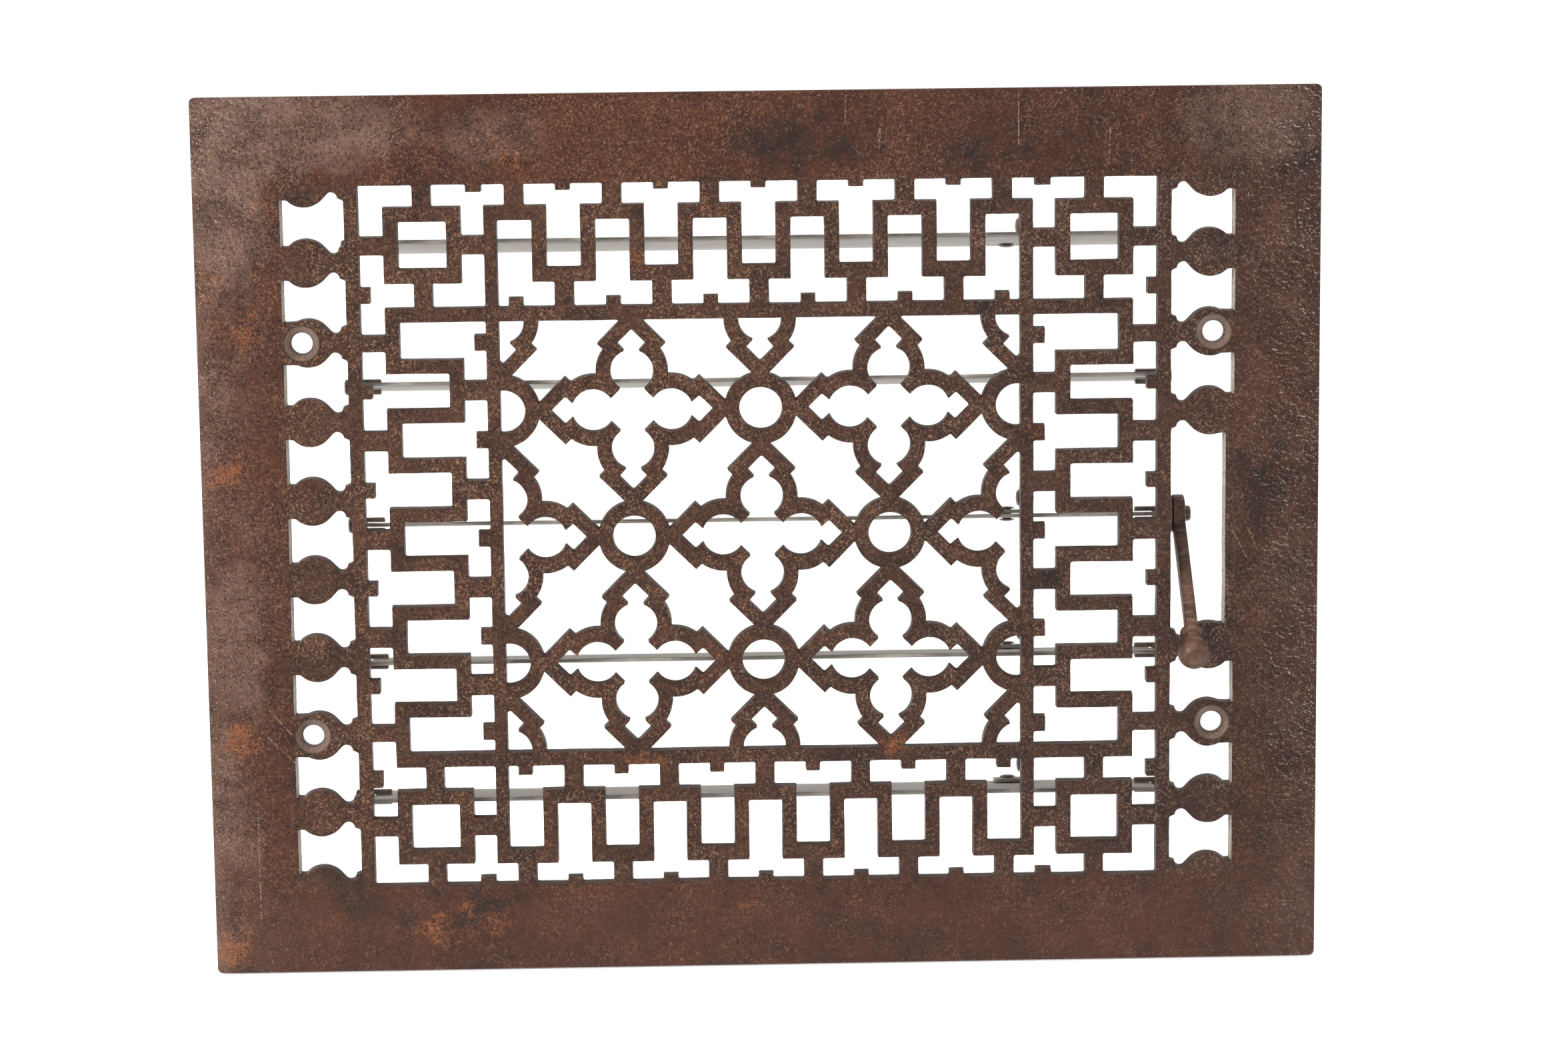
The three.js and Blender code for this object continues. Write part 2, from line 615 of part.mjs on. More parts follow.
// Turned knob on the end of the lever
function leverKnob() {
  const { r, neckR, collarR, collar, neck, length, ballFrom } = KNOB;
  const ball = arc(0, length - r, r, ballFrom, 90, ROUND).slice(0, -1);
  return turned([[0, 0], [collarR, 0], [collarR, collar], [neckR, neck], ...ball, [0, length]])
    .rotateZ(-Math.PI / 2)
    .translate((LEVER.x0 + LEVER.x1) / 2, -LEVER.length - GAP, 0);
}

function frictionWasher() {
  const ring = disc(0, 0, WASHER_R);
  ring.holes = [disc(0, 0, TRUNNION.r + CLEAR)];
  return fromSide(ring, RAIL.x1 + GAP, LEVER.x0 - GAP);
}

// ---------------------------------------------------------------- assembly

const register = new THREE.Group();
const valve = new THREE.Group();
register.add(valve);

function place(parent, name, geometry, material) {
  const mesh = new THREE.Mesh(geometry, material);
  mesh.name = name;
  parent.add(mesh);
  return mesh;
}

place(register, 'face_plate', faceCasting(), castIron);
place(valve, 'left_side_rail', sideRail(-1), sheetSteel);
place(valve, 'right_side_rail', sideRail(1), sheetSteel);
place(valve, 'top_tie_bar', tieBar(1), sheetSteel);
place(valve, 'bottom_tie_bar', tieBar(-1), sheetSteel);
atFourCorners(VALVE_SCREW.x, VALVE_SCREW.z, (x, z) => [x, z]).forEach(([x, z], i) => {
  place(valve, `valve_screw_${i + 1}`, valveScrew(), steelRod).position.set(x, 0, z);
});

// Each louvre turns as one group about its pivot
pivotHeights.forEach((height, i) => {
  const number = i + 1;
  const isMiddle = height === 0;
  const louvre = new THREE.Group();
  louvre.position.set(0, PIVOT.y, height);
  louvre.rotation.x = -OPEN_TILT;
  place(louvre, `louvre_blade_${number}`, blade(), sheetSteel);
  place(louvre, `left_trunnion_${number}`, trunnion(-1, TRUNNION.outside), steelRod);
  place(louvre, isMiddle ? 'lever_shaft' : `right_trunnion_${number}`,
    trunnion(1, isMiddle ? LEVER.shaftEnd : TRUNNION.outside), steelRod);
  place(louvre, `louvre_ear_${number}`, ear(), sheetSteel);
  place(louvre, `ear_rivet_${number}`, earRivet(), steelRod);
  place(louvre, `link_pin_${number}`, linkPin(), steelRod);
  valve.add(louvre);
});
place(valve, 'link_bar', linkBar(), sheetSteel);

const lever = new THREE.Group();
lever.position.set(0, PIVOT.y, 0);
lever.rotation.x = LEVER.restAngle;
place(lever, 'lever_arm', leverArm(), wornSteel);
place(lever, 'lever_knob', leverKnob(), wornSteel);
place(lever, 'lever_set_screw', setScrew(), steelRod);
place(lever, 'friction_washer', frictionWasher(), wornSteel);
valve.add(lever);

export default register;
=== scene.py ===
import math
from types import SimpleNamespace as Sizes

import bmesh
import bpy
from mathutils import Euler, Matrix, Vector, geometry, kdtree, noise

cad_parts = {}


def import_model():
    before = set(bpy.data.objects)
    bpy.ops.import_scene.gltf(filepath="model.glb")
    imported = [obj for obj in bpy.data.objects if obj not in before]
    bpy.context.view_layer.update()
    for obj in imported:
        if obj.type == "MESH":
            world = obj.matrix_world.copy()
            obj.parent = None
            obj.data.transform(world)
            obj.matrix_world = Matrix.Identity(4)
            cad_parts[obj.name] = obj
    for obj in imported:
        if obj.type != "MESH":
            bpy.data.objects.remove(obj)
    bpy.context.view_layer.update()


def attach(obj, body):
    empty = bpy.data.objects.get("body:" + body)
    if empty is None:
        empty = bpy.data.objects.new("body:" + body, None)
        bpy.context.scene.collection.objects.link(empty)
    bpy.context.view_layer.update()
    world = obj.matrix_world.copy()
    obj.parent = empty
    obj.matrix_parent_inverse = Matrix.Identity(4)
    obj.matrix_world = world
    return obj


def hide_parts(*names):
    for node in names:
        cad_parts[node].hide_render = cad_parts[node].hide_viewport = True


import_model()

MM = 0.001

# ------------ driving dimensions

BAR = 4.45
FACE = Sizes(width=353.2, height=280.4, thickness=4.5)
FIELD = Sizes(x=149.6, z=112.2)
OUTER_BAR = Sizes(inside=125.25, outside=129.25)
INNER_BAR = Sizes(inside=82.0, outside=86.0)
CROSS_BAR = Sizes(inside=69.15, outside=73.5)
KEY = Sizes(pitch=30.58, tee=12.32, stem=5.39, low=81.45, high=100.9,
            outer_tab=(2.24, 2.05), inner_tab=(2.2, 2.93), last=2.5)
SIDE_KEY = Sizes(pitch=31.5, tee=12.76, stem=5.72, inner=93.3, outer=113.15,
                 outer_tab=(2.2, 3.2), inner_tab=(2.42, 3.67), last_tab_drop=0.6)
CORNER = Sizes(x=(93.3, 117.5), z=(81.3, 105.2), tie_x=(102.5, 108.2), tie_z=(90.35, 95.95), tab=(2.4, 2.35),
               top_tab_x=89.1, side_tab_z=77.6, side_tab_deep=3.2, tee_end=3.0, side_floor=65.0)
LATTICE = Sizes(pitch=40.48, ring_in=6.82, ring_out=11.29)
QUATREFOIL = Sizes(lobe=12.32, tip_in=25.67, tip_out=31.83, shoulder=21.12, neck=(2.35, 18.73),
                   cusp=(3.81, 6.75), step=(8.95, 19.36))
COLUMN = Sizes(inside=129.5, pitch=25.15, medallion_x=141.8, medallion_r=7.55,
               pocket_x=133.25, pocket_drop=4.8, pocket_r=1.98, step_x=131.0, step_drop=4.85, wall_drop=5.5)
PLAIN_FOOT, FIXING_FOOT, SLOT_FOOT = (147.2, 5.1), (145.2, 6.6), (143.4, 6.75)
SLOT = Sizes(inside=129.65, outside=147.0, pitches=1.5)
FIXING = Sizes(left=-143.8, right=143.0, pitches=2.5, hole=3.38, sink=5.57, depth=2.2)
FIXINGS = [(x, z) for x in (FIXING.left, FIXING.right)
           for z in (FIXING.pitches * COLUMN.pitch, -FIXING.pitches * COLUMN.pitch)]

# ------------ the photo's camera

CAMERA = Sizes(x=-21.457, y=-1295.2, z=212.624, down=9.178, right=1.258, roll=-0.642, lens=94.889)


def set_camera():
    data = bpy.data.cameras.new("photo_camera")
    data.lens = CAMERA.lens
    data.sensor_width = 36.0
    data.clip_start, data.clip_end = 0.05, 60.0
    camera = bpy.data.objects.new("photo_camera", data)
    level = Euler((math.radians(90 - CAMERA.down), 0, math.radians(-CAMERA.right)), "XYZ")
    roll = Matrix.Rotation(math.radians(CAMERA.roll), 4, "Z")
    place = Vector((CAMERA.x, CAMERA.y, CAMERA.z)) * MM
    camera.matrix_world = Matrix.Translation(place) @ level.to_matrix().to_4x4() @ roll
    bpy.context.collection.objects.link(camera)
    bpy.context.scene.camera = camera


set_camera()

# ------------ node helpers


class Nodes:
    """A material's node tree, with one short call for each kind of node it uses."""

    def __init__(self, name):
        self.material = bpy.data.materials.new(name)
        self.material.use_nodes = True
        self.tree = self.material.node_tree
        self.tree.nodes.clear()
        self.mm = self.vector("SCALE", self.make("TexCoord").outputs["Object"], Scale=1000.0)

    def make(self, kind, **settings):
        node = self.tree.nodes.new(f"ShaderNode{kind}")
        for key, value in settings.items():
            setattr(node, key, value)
        return node

    def put(self, sockets, values):
        for socket, value in zip(sockets, values):
            if isinstance(value, bpy.types.NodeSocket):
                self.tree.links.new(value, socket)
            else:
                socket.default_value = value

    def feed(self, node, **inputs):
        """Links or sets a node's named inputs, an underscore standing for a space."""
        self.put([node.inputs[name.replace("_", " ")] for name in inputs], inputs.values())

    def vector(self, operation, *vectors, **inputs):
        node = self.make("VectorMath", operation=operation)
        self.put(node.inputs, vectors)
        self.feed(node, **inputs)
        return node.outputs["Value" if operation == "DISTANCE" else "Vector"]

    def math(self, operation, *values):
        node = self.make("Math", operation=operation)
        self.put(node.inputs, values)
        return node.outputs[0]

    def folded(self, operation, values):
        result = values[0]
        for value in values[1:]:
            result = self.math(operation, result, value)
        return result

    def times(self, *values):
        return self.folded("MULTIPLY", values)

    def plus(self, *values):
        return self.folded("ADD", values)

    def most(self, *values):
        return self.folded("MAXIMUM", values)

    def minus(self, a, b):
        return self.math("SUBTRACT", a, b)

    def less(self, mask, share, whole=1.0):
        """The whole, less a share where a mask is 1."""
        return self.minus(whole, self.times(mask, share))

    def step(self, value, low, high, out_low=0.0, out_high=1.0):
        """Smooth step of value from low to high."""
        node = self.make("MapRange", interpolation_type="SMOOTHSTEP")
        self.feed(node, Value=value, From_Min=low, From_Max=high, To_Min=out_low, To_Max=out_high)
        return node.outputs["Result"]

    def noise(self, scale, detail=4.0, roughness=0.6, at=None, distortion=0.0, output=0):
        """Fractal noise, scale in cycles per millimetre."""
        node = self.make("TexNoise")
        self.feed(node, Vector=at or self.mm, Scale=scale, Detail=detail, Roughness=roughness,
                  Distortion=distortion)
        return node.outputs[output]

    def mix(self, factor, a, b):
        node = self.make("Mix", data_type="RGBA")
        self.feed(node, Factor=factor)
        self.put(node.inputs[6:8], (a, b))
        return node.outputs[2]

    def split(self, vector):
        node = self.make("SeparateXYZ")
        self.put(node.inputs, (vector,))
        return node.outputs

    def bump(self, height, distance, strength):
        """A bumped normal, distance in millimetres."""
        node = self.make("Bump")
        self.feed(node, Height=height, Distance=distance * MM, Strength=strength)
        return node.outputs["Normal"]

    def finish(self, **inputs):
        shader = self.make("BsdfPrincipled")
        self.feed(shader, **inputs)
        output = self.make("OutputMaterial")
        self.tree.links.new(shader.outputs[0], output.inputs["Surface"])
        return self.material


def rgb(red, green, blue):
    """A colour from its display values, 0 to 255."""
    return tuple((v / 255.0) ** 2.2 for v in (red, green, blue)) + (1.0,)


# ------------ the face's cast iron

# Spots on the face, each (x, z, half width, half height), and for the painted sheen a strength.
PAINTED_SHEEN_SPOTS = ((-168, -32, 11, 26, 0.16), (-152, 132, 42, 14, 0.24), (-168, 106, 14, 30, 0.20),
              (158, 130, 24, 14, 0.12), (-84, 128, 16, 8, 0.10))
BLACK_STAINS = ((74, 122, 16, 5), (6, 126, 15, 8), (20, 120, 12, 5), (160, 18, 8, 17), (-136, -112, 12, 8),
                (-108, -120, 24, 5), (168, 120, 5, 8), (92, -16, 7, 4), (-62, 77, 3, 3), (-114, -5, 4, 4))
RUST_SPOTS = ((-165, 67, 9, 4), (-171, 82, 4, 5), (-168, 22, 6, 7), (-164, -64, 6, 4), (-78, 122, 5, 6),
              (-104, -127, 9, 4), (-90, -123, 7, 7), (-172, -128, 4, 12), (-37, 88, 4, 4), (86, 30, 4, 4),
              (-38, -71, 8, 3), (40, -68, 7, 4), (-13, 104, 5, 2.5))
# Scratches, each (x, z, angle, length) and a width where it isn't the usual one.
SCRATCHES = ((81.5, 131, 90, 18), (110, 122, 88, 13), (-162, -104, 90, 42), (151.5, -5, -62, 11),
             (155.5, -3, -65, 8), (-155, -66, -45, 16), (-44, 103, 70, 9), (27.5, 134.5, 88, 11),
             (38, 126, 86, 6, 0.5), (-154, -58, -50, 12))


class CastIron(Nodes):
    """The face's material. From the painted sheen on, each layer lays one kind of mark, or of painted light
    or shade, over a colour.
    """

    def __init__(self):
        super().__init__("cast_iron_face")
        wander = self.noise(0.10, 5.0, 0.65, output=1)
        drift = self.vector("SCALE", self.vector("SUBTRACT", wander, (0.5, 0.5, 0.5)), Scale=22.0)
        self.ragged = self.vector("ADD", self.mm, drift)
        self.broken = self.step(self.noise(1.3, 2.0), 0.44, 0.54)
        self.middling = self.noise(0.09, 7.0, 0.66, distortion=0.3)
        self.grit = self.noise(0.75, 4.0, 0.72)
        self.fine = self.noise(1.5, 3.0, 0.75)
        self.patchy = self.step(self.noise(0.06, 5.0, 0.6), 0.38, 0.62, 0.30, 1.0)

        self.x, self.y, self.z = self.split(self.mm)
        self.side, self.high = self.math("ABSOLUTE", self.x), self.math("ABSOLUTE", self.z)
        self.right = self.step(self.x, 147.0, 168.0)
        self.lower = self.step(self.z, -90.0, -128.0)
        self.fretwork = self.times(self.step(self.side, 153.0, 147.0), self.step(self.high, 115.0, 110.0))
        normal = self.split(self.make("NewGeometry").outputs["True Normal"])
        self.facing_side, self.facing = (self.math("ABSOLUTE", normal[axis]) for axis in (0, 1))
        self.cut_wall = self.times(self.step(self.facing, 0.40, 0.15), self.step(self.side, 176.0, 174.5),
                                   self.step(self.high, 139.6, 138.8), self.step(self.y, -4.25, -3.8))
        self.pitted = self.most(
            self.times(self.right, self.step(self.z, -110.0, -60.0, 0.45, 1.0)),
            self.times(self.step(self.side, 138.0, 165.0), self.step(self.z, 60.0, 118.0, 0.25, 0.7)))
        stretched = self.vector("MULTIPLY", self.mm, (0.75, 1.0, 1.0))
        self.pits = self.noise(0.80, 3.0, 0.62, at=stretched)
        below = self.noise(0.80, 3.0, 0.62, at=self.vector("ADD", stretched, (-0.16, 0.0, -0.26)))
        self.tilt = self.minus(self.pits, below)
        flat = self.vector("MULTIPLY", self.mm, (1, 0, 1))
        distances = [self.vector("DISTANCE", flat, (x, 0, z)) for x, z in FIXINGS]
        self.from_fixing = self.folded("MINIMUM", distances)
        self.bare = self.times(self.step(self.from_fixing, FIXING.sink + 0.4, FIXING.sink - 0.3),
                               self.step(self.facing, 0.985, 0.93))

    def near(self, x, z, radius_x, radius_z):
        """1 within an ellipse of the face and 0 outside it, with a soft ragged edge."""
        ragged_x, _, ragged_z = self.split(self.ragged)
        dx = self.times(self.minus(ragged_x, x), 1.0 / radius_x)
        dz = self.times(self.minus(ragged_z, z), 1.0 / radius_z)
        return self.step(self.plus(self.times(dx, dx), self.times(dz, dz)), 1.7, 0.3)

    def scratch(self, x, z, angle, length, width=0.26):
        """A fine broken line centred at x, z on the face."""
        cos, sin = math.cos(math.radians(angle)), math.sin(math.radians(angle))
        dx, dz = self.minus(self.x, x), self.minus(self.z, z)
        along = self.plus(self.times(dx, cos), self.times(dz, sin))
        across = self.minus(self.times(dz, cos), self.times(dx, sin))
        line = self.step(self.math("ABSOLUTE", across), width, width * 0.4)
        ends = self.step(self.math("ABSOLUTE", along), length / 2, length / 2 - 1.0)
        return self.times(line, ends, self.broken)

    def skin(self):
        """A reddish brown border round a slightly greyer fretwork, with painted shade towards the right and a
        deeper tone at the foot.
        """
        colour = self.mix(self.step(self.middling, 0.30, 0.70), rgb(58, 29, 18), rgb(84, 46, 28))
        broad = self.step(self.noise(0.014, 4.0, 0.55), 0.36, 0.66, 0.0, 0.30)
        colour = self.mix(broad, colour, rgb(94, 54, 35))
        greyer = self.mix(self.step(self.middling, 0.30, 0.66), rgb(52, 35, 27), rgb(78, 54, 42))
        colour = self.mix(self.times(self.fretwork, 0.65), colour, greyer)
        shade_right_and_dark_foot = self.most(self.step(self.x, -40.0, 175.0, 0.0, 0.30), self.times(self.lower, 0.22))
        return self.mix(shade_right_and_dark_foot, colour, rgb(34, 20, 14))

    def painted_sheen(self, colour):
        """Painted sheen: a grey reflection painted at the left and in the top left corner."""
        clouds = self.times(self.step(self.noise(0.03, 6.0, 0.62), 0.30, 0.70),
                            self.step(self.side, 140.0, 176.0), self.step(self.x, -150.0, -172.0, 0.06, 0.20))
        spots = [self.times(self.near(*spot), strength) for *spot, strength in PAINTED_SHEEN_SPOTS]
        grey = self.most(clouds, self.times(self.step(self.x, -166.0, -180.0), 0.20), *spots)
        return self.mix(self.times(grey, self.step(self.middling, 0.36, 0.60, 0.45, 1.2)), colour,
                        rgb(178, 152, 138))

    def grain(self, colour):
        """Dark grain, and tan flecks of old rust that are thickest on the fretwork."""
        shade = self.times(self.step(self.fine, 0.49, 0.34), self.less(self.lower, 0.40, 0.90))
        colour = self.mix(shade, colour, rgb(30, 17, 11))
        flecks = self.times(self.step(self.fine, 0.55, 0.62), self.patchy,
                            self.plus(self.times(self.fretwork, 0.30), 0.45),
                            self.less(self.most(self.lower, self.right), 0.5))
        tan = self.mix(self.step(self.x, -60.0, 120.0), rgb(162, 124, 94), rgb(142, 118, 102))
        colour = self.mix(flecks, colour, tan)
        clots = self.times(self.step(self.grit, 0.58, 0.66), self.step(self.noise(0.05), 0.46, 0.60), 0.5)
        return self.mix(clots, colour, rgb(142, 100, 68))

    def stains(self, colour):
        spots = self.most(*[self.near(*spot) for spot in BLACK_STAINS],
                          self.step(self.noise(0.04, 6.0, 0.64), 0.62, 0.72))
        return self.mix(self.times(spots, self.step(self.middling, 0.62, 0.36, 0.10, 0.70)), colour,
                        rgb(32, 23, 18))

    def rust(self, colour):
        """Orange rust in small flecks."""
        spots = self.most(*[self.near(*spot) for spot in RUST_SPOTS],
                          self.step(self.noise(0.07, 6.0, 0.68), 0.66, 0.72))
        crumbs = self.plus(self.times(self.middling, 0.45), self.times(self.fine, 0.55))
        return self.mix(self.times(spots, self.step(crumbs, 0.47, 0.60), 0.70), colour, rgb(146, 86, 50))

    def walls(self, colour):
        """Cut walls that are greyer than the skin, with painted light making them pale where they face the
        side columns.
        """
        pale = self.times(self.step(self.side, 142.5, 144.5), self.step(self.facing_side, 0.5, 0.8))
        wall_colour = self.mix(pale, rgb(70, 56, 48), rgb(196, 184, 172))
        return self.mix(self.times(self.cut_wall, self.step(self.grit, 0.34, 0.58, 0.45, 0.95)), colour,
                        wall_colour)

    def painted_pit_light(self, colour):
        """Coarse pits drawn in colour: a painted highlight on their upper flanks and painted shade on their
        lower ones.
        """
        highlight_spots = self.step(self.noise(0.11, 4.0, 0.65), 0.36, 0.60, 0.45, 1.0)
        pit_highlight = self.times(self.step(self.tilt, 0.085, 0.15), self.pitted, highlight_spots, 0.85)
        colour = self.mix(pit_highlight, colour, rgb(190, 174, 166))
        # painted shade on the pits' lower flanks
        return self.mix(self.times(self.step(self.tilt, -0.06, -0.15), self.pitted, 0.65), colour,
                        rgb(34, 19, 13))

    def painted_glints(self, colour):
        """Painted glints: small light dots where the cast grain would catch the light."""
        cells = self.make("TexVoronoi", feature="F1")
        self.feed(cells, Vector=self.mm, Scale=1.55)
        pick, glint, _ = self.split(cells.outputs["Color"])
        share = self.plus(self.times(self.step(self.side, 148.0, 172.0), 0.12), self.times(self.patchy, 0.16))
        glint_mask = self.times(self.math("LESS_THAN", pick, share),
                           self.step(cells.outputs["Distance"], 0.34, 0.18),
                           self.less(self.lower, 0.5), self.step(glint, 0.0, 1.0, 0.25, 0.85))
        return self.mix(glint_mask, colour, rgb(204, 188, 174))

    def scratches(self, colour):
        marks = self.most(*[self.scratch(*mark) for mark in SCRATCHES])
        return self.mix(self.times(marks, 0.5), colour, rgb(172, 146, 118))

    def countersinks(self, colour):
        """Bare metal in the countersinks, dark at the edge of each hole."""
        worn = self.mix(self.middling, rgb(88, 70, 61), rgb(150, 127, 114))
        worn = self.mix(self.step(self.from_fixing, 4.0, 3.5, 0.0, 0.7), worn, rgb(66, 62, 66))
        return self.mix(self.bare, colour, worn)

    def relief(self):
        """The cast surface: fine grit everywhere, and pits on the right border and along the top."""
        height = self.plus(self.times(self.fine, 0.9), self.times(self.grit, 1.1),
                           self.times(self.middling, 0.7), self.times(self.pits, self.pitted, 2.2))
        height = self.times(height, self.less(self.lower, 0.45), self.less(self.bare, 0.6))
        return self.bump(height, 0.85, 1.0)

    def made(self):
        colour = self.skin()
        for layer in (self.painted_sheen, self.grain, self.stains, self.rust, self.walls, self.painted_pit_light, self.painted_glints,
                      self.scratches, self.countersinks):
            colour = layer(colour)
        mottle = self.plus(self.middling, self.times(self.fine, 0.3))
        return self.finish(Base_Color=colour, Roughness=self.step(mottle, 0.45, 0.95, 0.26, 0.40),
                           Metallic=self.times(self.bare, 0.85),
                           Specular_IOR_Level=self.less(self.cut_wall, 0.20, 0.26), Normal=self.relief())


# ------------ the valve's metals


def rusty_steel(name, dark, light, metallic, rough, wear):
    """Sheet, rod or worn iron: a mottled skin, lighter drawn streaks and a little orange rust."""
    n = Nodes(name)
    middling = n.noise(0.16, 6.0, 0.66, distortion=0.3)
    fine = n.noise(1.1, 4.0, 0.7)
    drawn = n.noise(0.7, 3.0, 0.6, at=n.vector("MULTIPLY", n.mm, (0.12, 1.0, 1.0)))
    colour = n.mix(n.step(middling, 0.34, 0.70), dark, light)
    colour = n.mix(n.times(n.step(drawn, 0.52, 0.74), wear), colour, rgb(150, 132, 116))
    colour = n.mix(n.times(n.step(n.noise(0.09, 5.0), 0.60, 0.74), 0.55), colour, rgb(128, 74, 42))
    height = n.plus(fine, n.times(middling, 0.8))
    return n.finish(Base_Color=colour, Roughness=n.step(middling, 0.3, 0.7, rough, rough + 0.22),
                    Metallic=metallic, Normal=n.bump(height, 0.10, 0.7))


LOOKS = dict(
    cast_iron_face=CastIron().made(),
    sheet_steel=rusty_steel("sheet_steel", rgb(146, 139, 130), rgb(174, 168, 160), 0.45, 0.46, 0.25),
    steel_rod=rusty_steel("steel_rod", rgb(78, 66, 58), rgb(124, 108, 96), 0.70, 0.34, 0.45),
    lever_iron=rusty_steel("lever_iron", rgb(60, 38, 28), rgb(100, 70, 54), 0.30, 0.36, 0.45),
)

# ------------ outlines (x, z) of the openings


def flip_x(points):
    return [(-x, z) for x, z in reversed(points)]


def flip_z(points):
    return [(x, -z) for x, z in reversed(points)]


def shift(points, dx, dz):
    return [(x + dx, z + dz) for x, z in points]


def four_ways(points):
    upper = [points, flip_x(points)]
    return upper + [flip_z(p) for p in upper]


def arc(cx, cz, r, start, end, steps):
    turn = (math.radians(start + (end - start) * i / steps) for i in range(steps + 1))
    return [(cx + r * math.cos(a), cz + r * math.sin(a)) for a in turn]


def hole(cx, cz, r, steps=32):
    return arc(cx, cz, r, 0, 360 - 360 / steps, steps - 1)


def degrees(z, x):
    return math.degrees(math.atan2(z, x))


def hanging_tee():
    half, deep = KEY.outer_tab
    low, high = KEY.low + BAR, KEY.high + BAR
    right = [(KEY.stem, low), (KEY.stem, high), (KEY.tee, high), (KEY.tee, FIELD.z),
             (half, FIELD.z), (half, FIELD.z - deep)]
    return right + flip_x(right)


def standing_tee():
    half, deep = KEY.inner_tab
    floor = CROSS_BAR.outside
    right = [(half, floor + deep), (half, floor), (KEY.tee, floor), (KEY.tee, KEY.low),
             (KEY.stem, KEY.low), (KEY.stem, KEY.high)]
    return right + flip_x(right)


def last_standing_tee():
    half, deep = KEY.inner_tab
    floor, middle, wall = CROSS_BAR.outside, KEY.last * KEY.pitch, INNER_BAR.inside
    return [(middle - KEY.tee, floor), (middle - half, floor), (middle - half, floor + deep),
            (middle + half, floor + deep), (middle + half, floor), (wall, floor), (wall, KEY.high),
            (middle - KEY.stem, KEY.high), (middle - KEY.stem, KEY.low),
            (middle - KEY.tee, KEY.low)]


def key_openings():
    hanging = [shift(hanging_tee(), i * KEY.pitch, 0) for i in (-2, -1, 0, 1, 2)]
    standing = [shift(standing_tee(), i * KEY.pitch, 0) for i in (-1.5, -0.5, 0.5, 1.5)]
    upper = hanging + standing
    return upper + [flip_z(p) for p in upper] + four_ways(last_standing_tee())


def outer_side_tee():
    half, deep = SIDE_KEY.outer_tab
    wall = OUTER_BAR.inside
    upper = [(wall - deep, half), (wall, half), (wall, SIDE_KEY.tee),
             (SIDE_KEY.outer + BAR, SIDE_KEY.tee), (SIDE_KEY.outer + BAR, SIDE_KEY.stem),
             (SIDE_KEY.inner + BAR, SIDE_KEY.stem)]
    return upper + flip_z(upper)


def inner_side_tee():
    half, deep = SIDE_KEY.inner_tab
    wall = INNER_BAR.outside
    upper = [(SIDE_KEY.outer, SIDE_KEY.stem), (SIDE_KEY.inner, SIDE_KEY.stem),
             (SIDE_KEY.inner, SIDE_KEY.tee), (wall, SIDE_KEY.tee), (wall, half), (wall + deep, half)]
    return upper + flip_z(upper)


def side_key_end():
    half, deep = SIDE_KEY.inner_tab
    wall, top, middle = INNER_BAR.outside, CROSS_BAR.inside, 2 * SIDE_KEY.pitch
    tab = middle - SIDE_KEY.last_tab_drop
    return [(wall, middle - SIDE_KEY.tee), (SIDE_KEY.inner, middle - SIDE_KEY.tee),
            (SIDE_KEY.inner, middle - SIDE_KEY.stem), (SIDE_KEY.outer, middle - SIDE_KEY.stem),
            (SIDE_KEY.outer, top), (wall, top), (wall, tab + half), (wall + deep, tab + half),
            (wall + deep, tab - half), (wall, tab - half)]


def side_key_openings():
    pitch = SIDE_KEY.pitch
    right = [shift(outer_side_tee(), 0, i * pitch) for i in (-1.5, -0.5, 0.5, 1.5)]
    right += [shift(inner_side_tee(), 0, i * pitch) for i in (-1, 0, 1)]
    return right + [flip_x(p) for p in right] + four_ways(side_key_end())


def corner_openings():
    (x0, x1), (z0, z1), (tx0, tx1), (tz0, tz1) = CORNER.x, CORNER.z, CORNER.tie_x, CORNER.tie_z
    inner, outer, floor, top = INNER_BAR.outside, OUTER_BAR.inside, CROSS_BAR.outside, FIELD.z
    (half, deep), tab_x, tab_z = CORNER.tab, CORNER.top_tab_x, CORNER.side_tab_z
    low, tab_wall = CORNER.side_floor, outer - CORNER.side_tab_deep
    end, under = KEY.last * KEY.pitch + CORNER.tee_end, KEY.high + BAR
    square = [(x0 + BAR, z0 + BAR), (x1 - BAR, z0 + BAR), (x1 - BAR, z1 - BAR), (x0 + BAR, z1 - BAR)]
    top_tee = [(inner, tz1), (x0, tz1), (x0, z1), (tx0, z1), (tx0, top), (tab_x + half, top),
               (tab_x + half, top - deep), (tab_x - half, top - deep), (tab_x - half, top),
               (end, top), (end, under), (inner, under)]
    outer_ell = [(tx1, z1), (x1, z1), (x1, tz1), (outer, tz1), (outer, top), (tx1, top)]
    inner_ell = [(inner, floor), (tx0, floor), (tx0, z0), (x0, z0), (x0, tz0), (inner, tz0)]
    side_tee = [(tx1, floor), (x1, floor), (x1, low), (outer, low), (outer, tab_z - half),
                (tab_wall, tab_z - half), (tab_wall, tab_z + half), (outer, tab_z + half),
                (outer, tz0), (x1, tz0), (x1, z0), (tx1, z0)]
    return [p for shape in (square, top_tee, outer_ell, inner_ell, side_tee) for p in four_ways(shape)]


def quatrefoil_inside():
    q = QUATREFOIL
    (cusp_x, cusp_z), (neck_x, neck_z) = q.cusp, q.neck
    lobe = arc(0, q.lobe, LATTICE.ring_in, degrees(cusp_z - q.lobe, cusp_x),
               degrees(neck_z - q.lobe, neck_x), 14)
    side = lobe + [(q.tip_in - q.shoulder, q.shoulder)]
    arm = side + [(0, q.tip_in)] + flip_x(side)
    outline = []
    for _ in range(4):
        outline += arm
        arm = [(-z, x) for x, z in arm]
    return outline


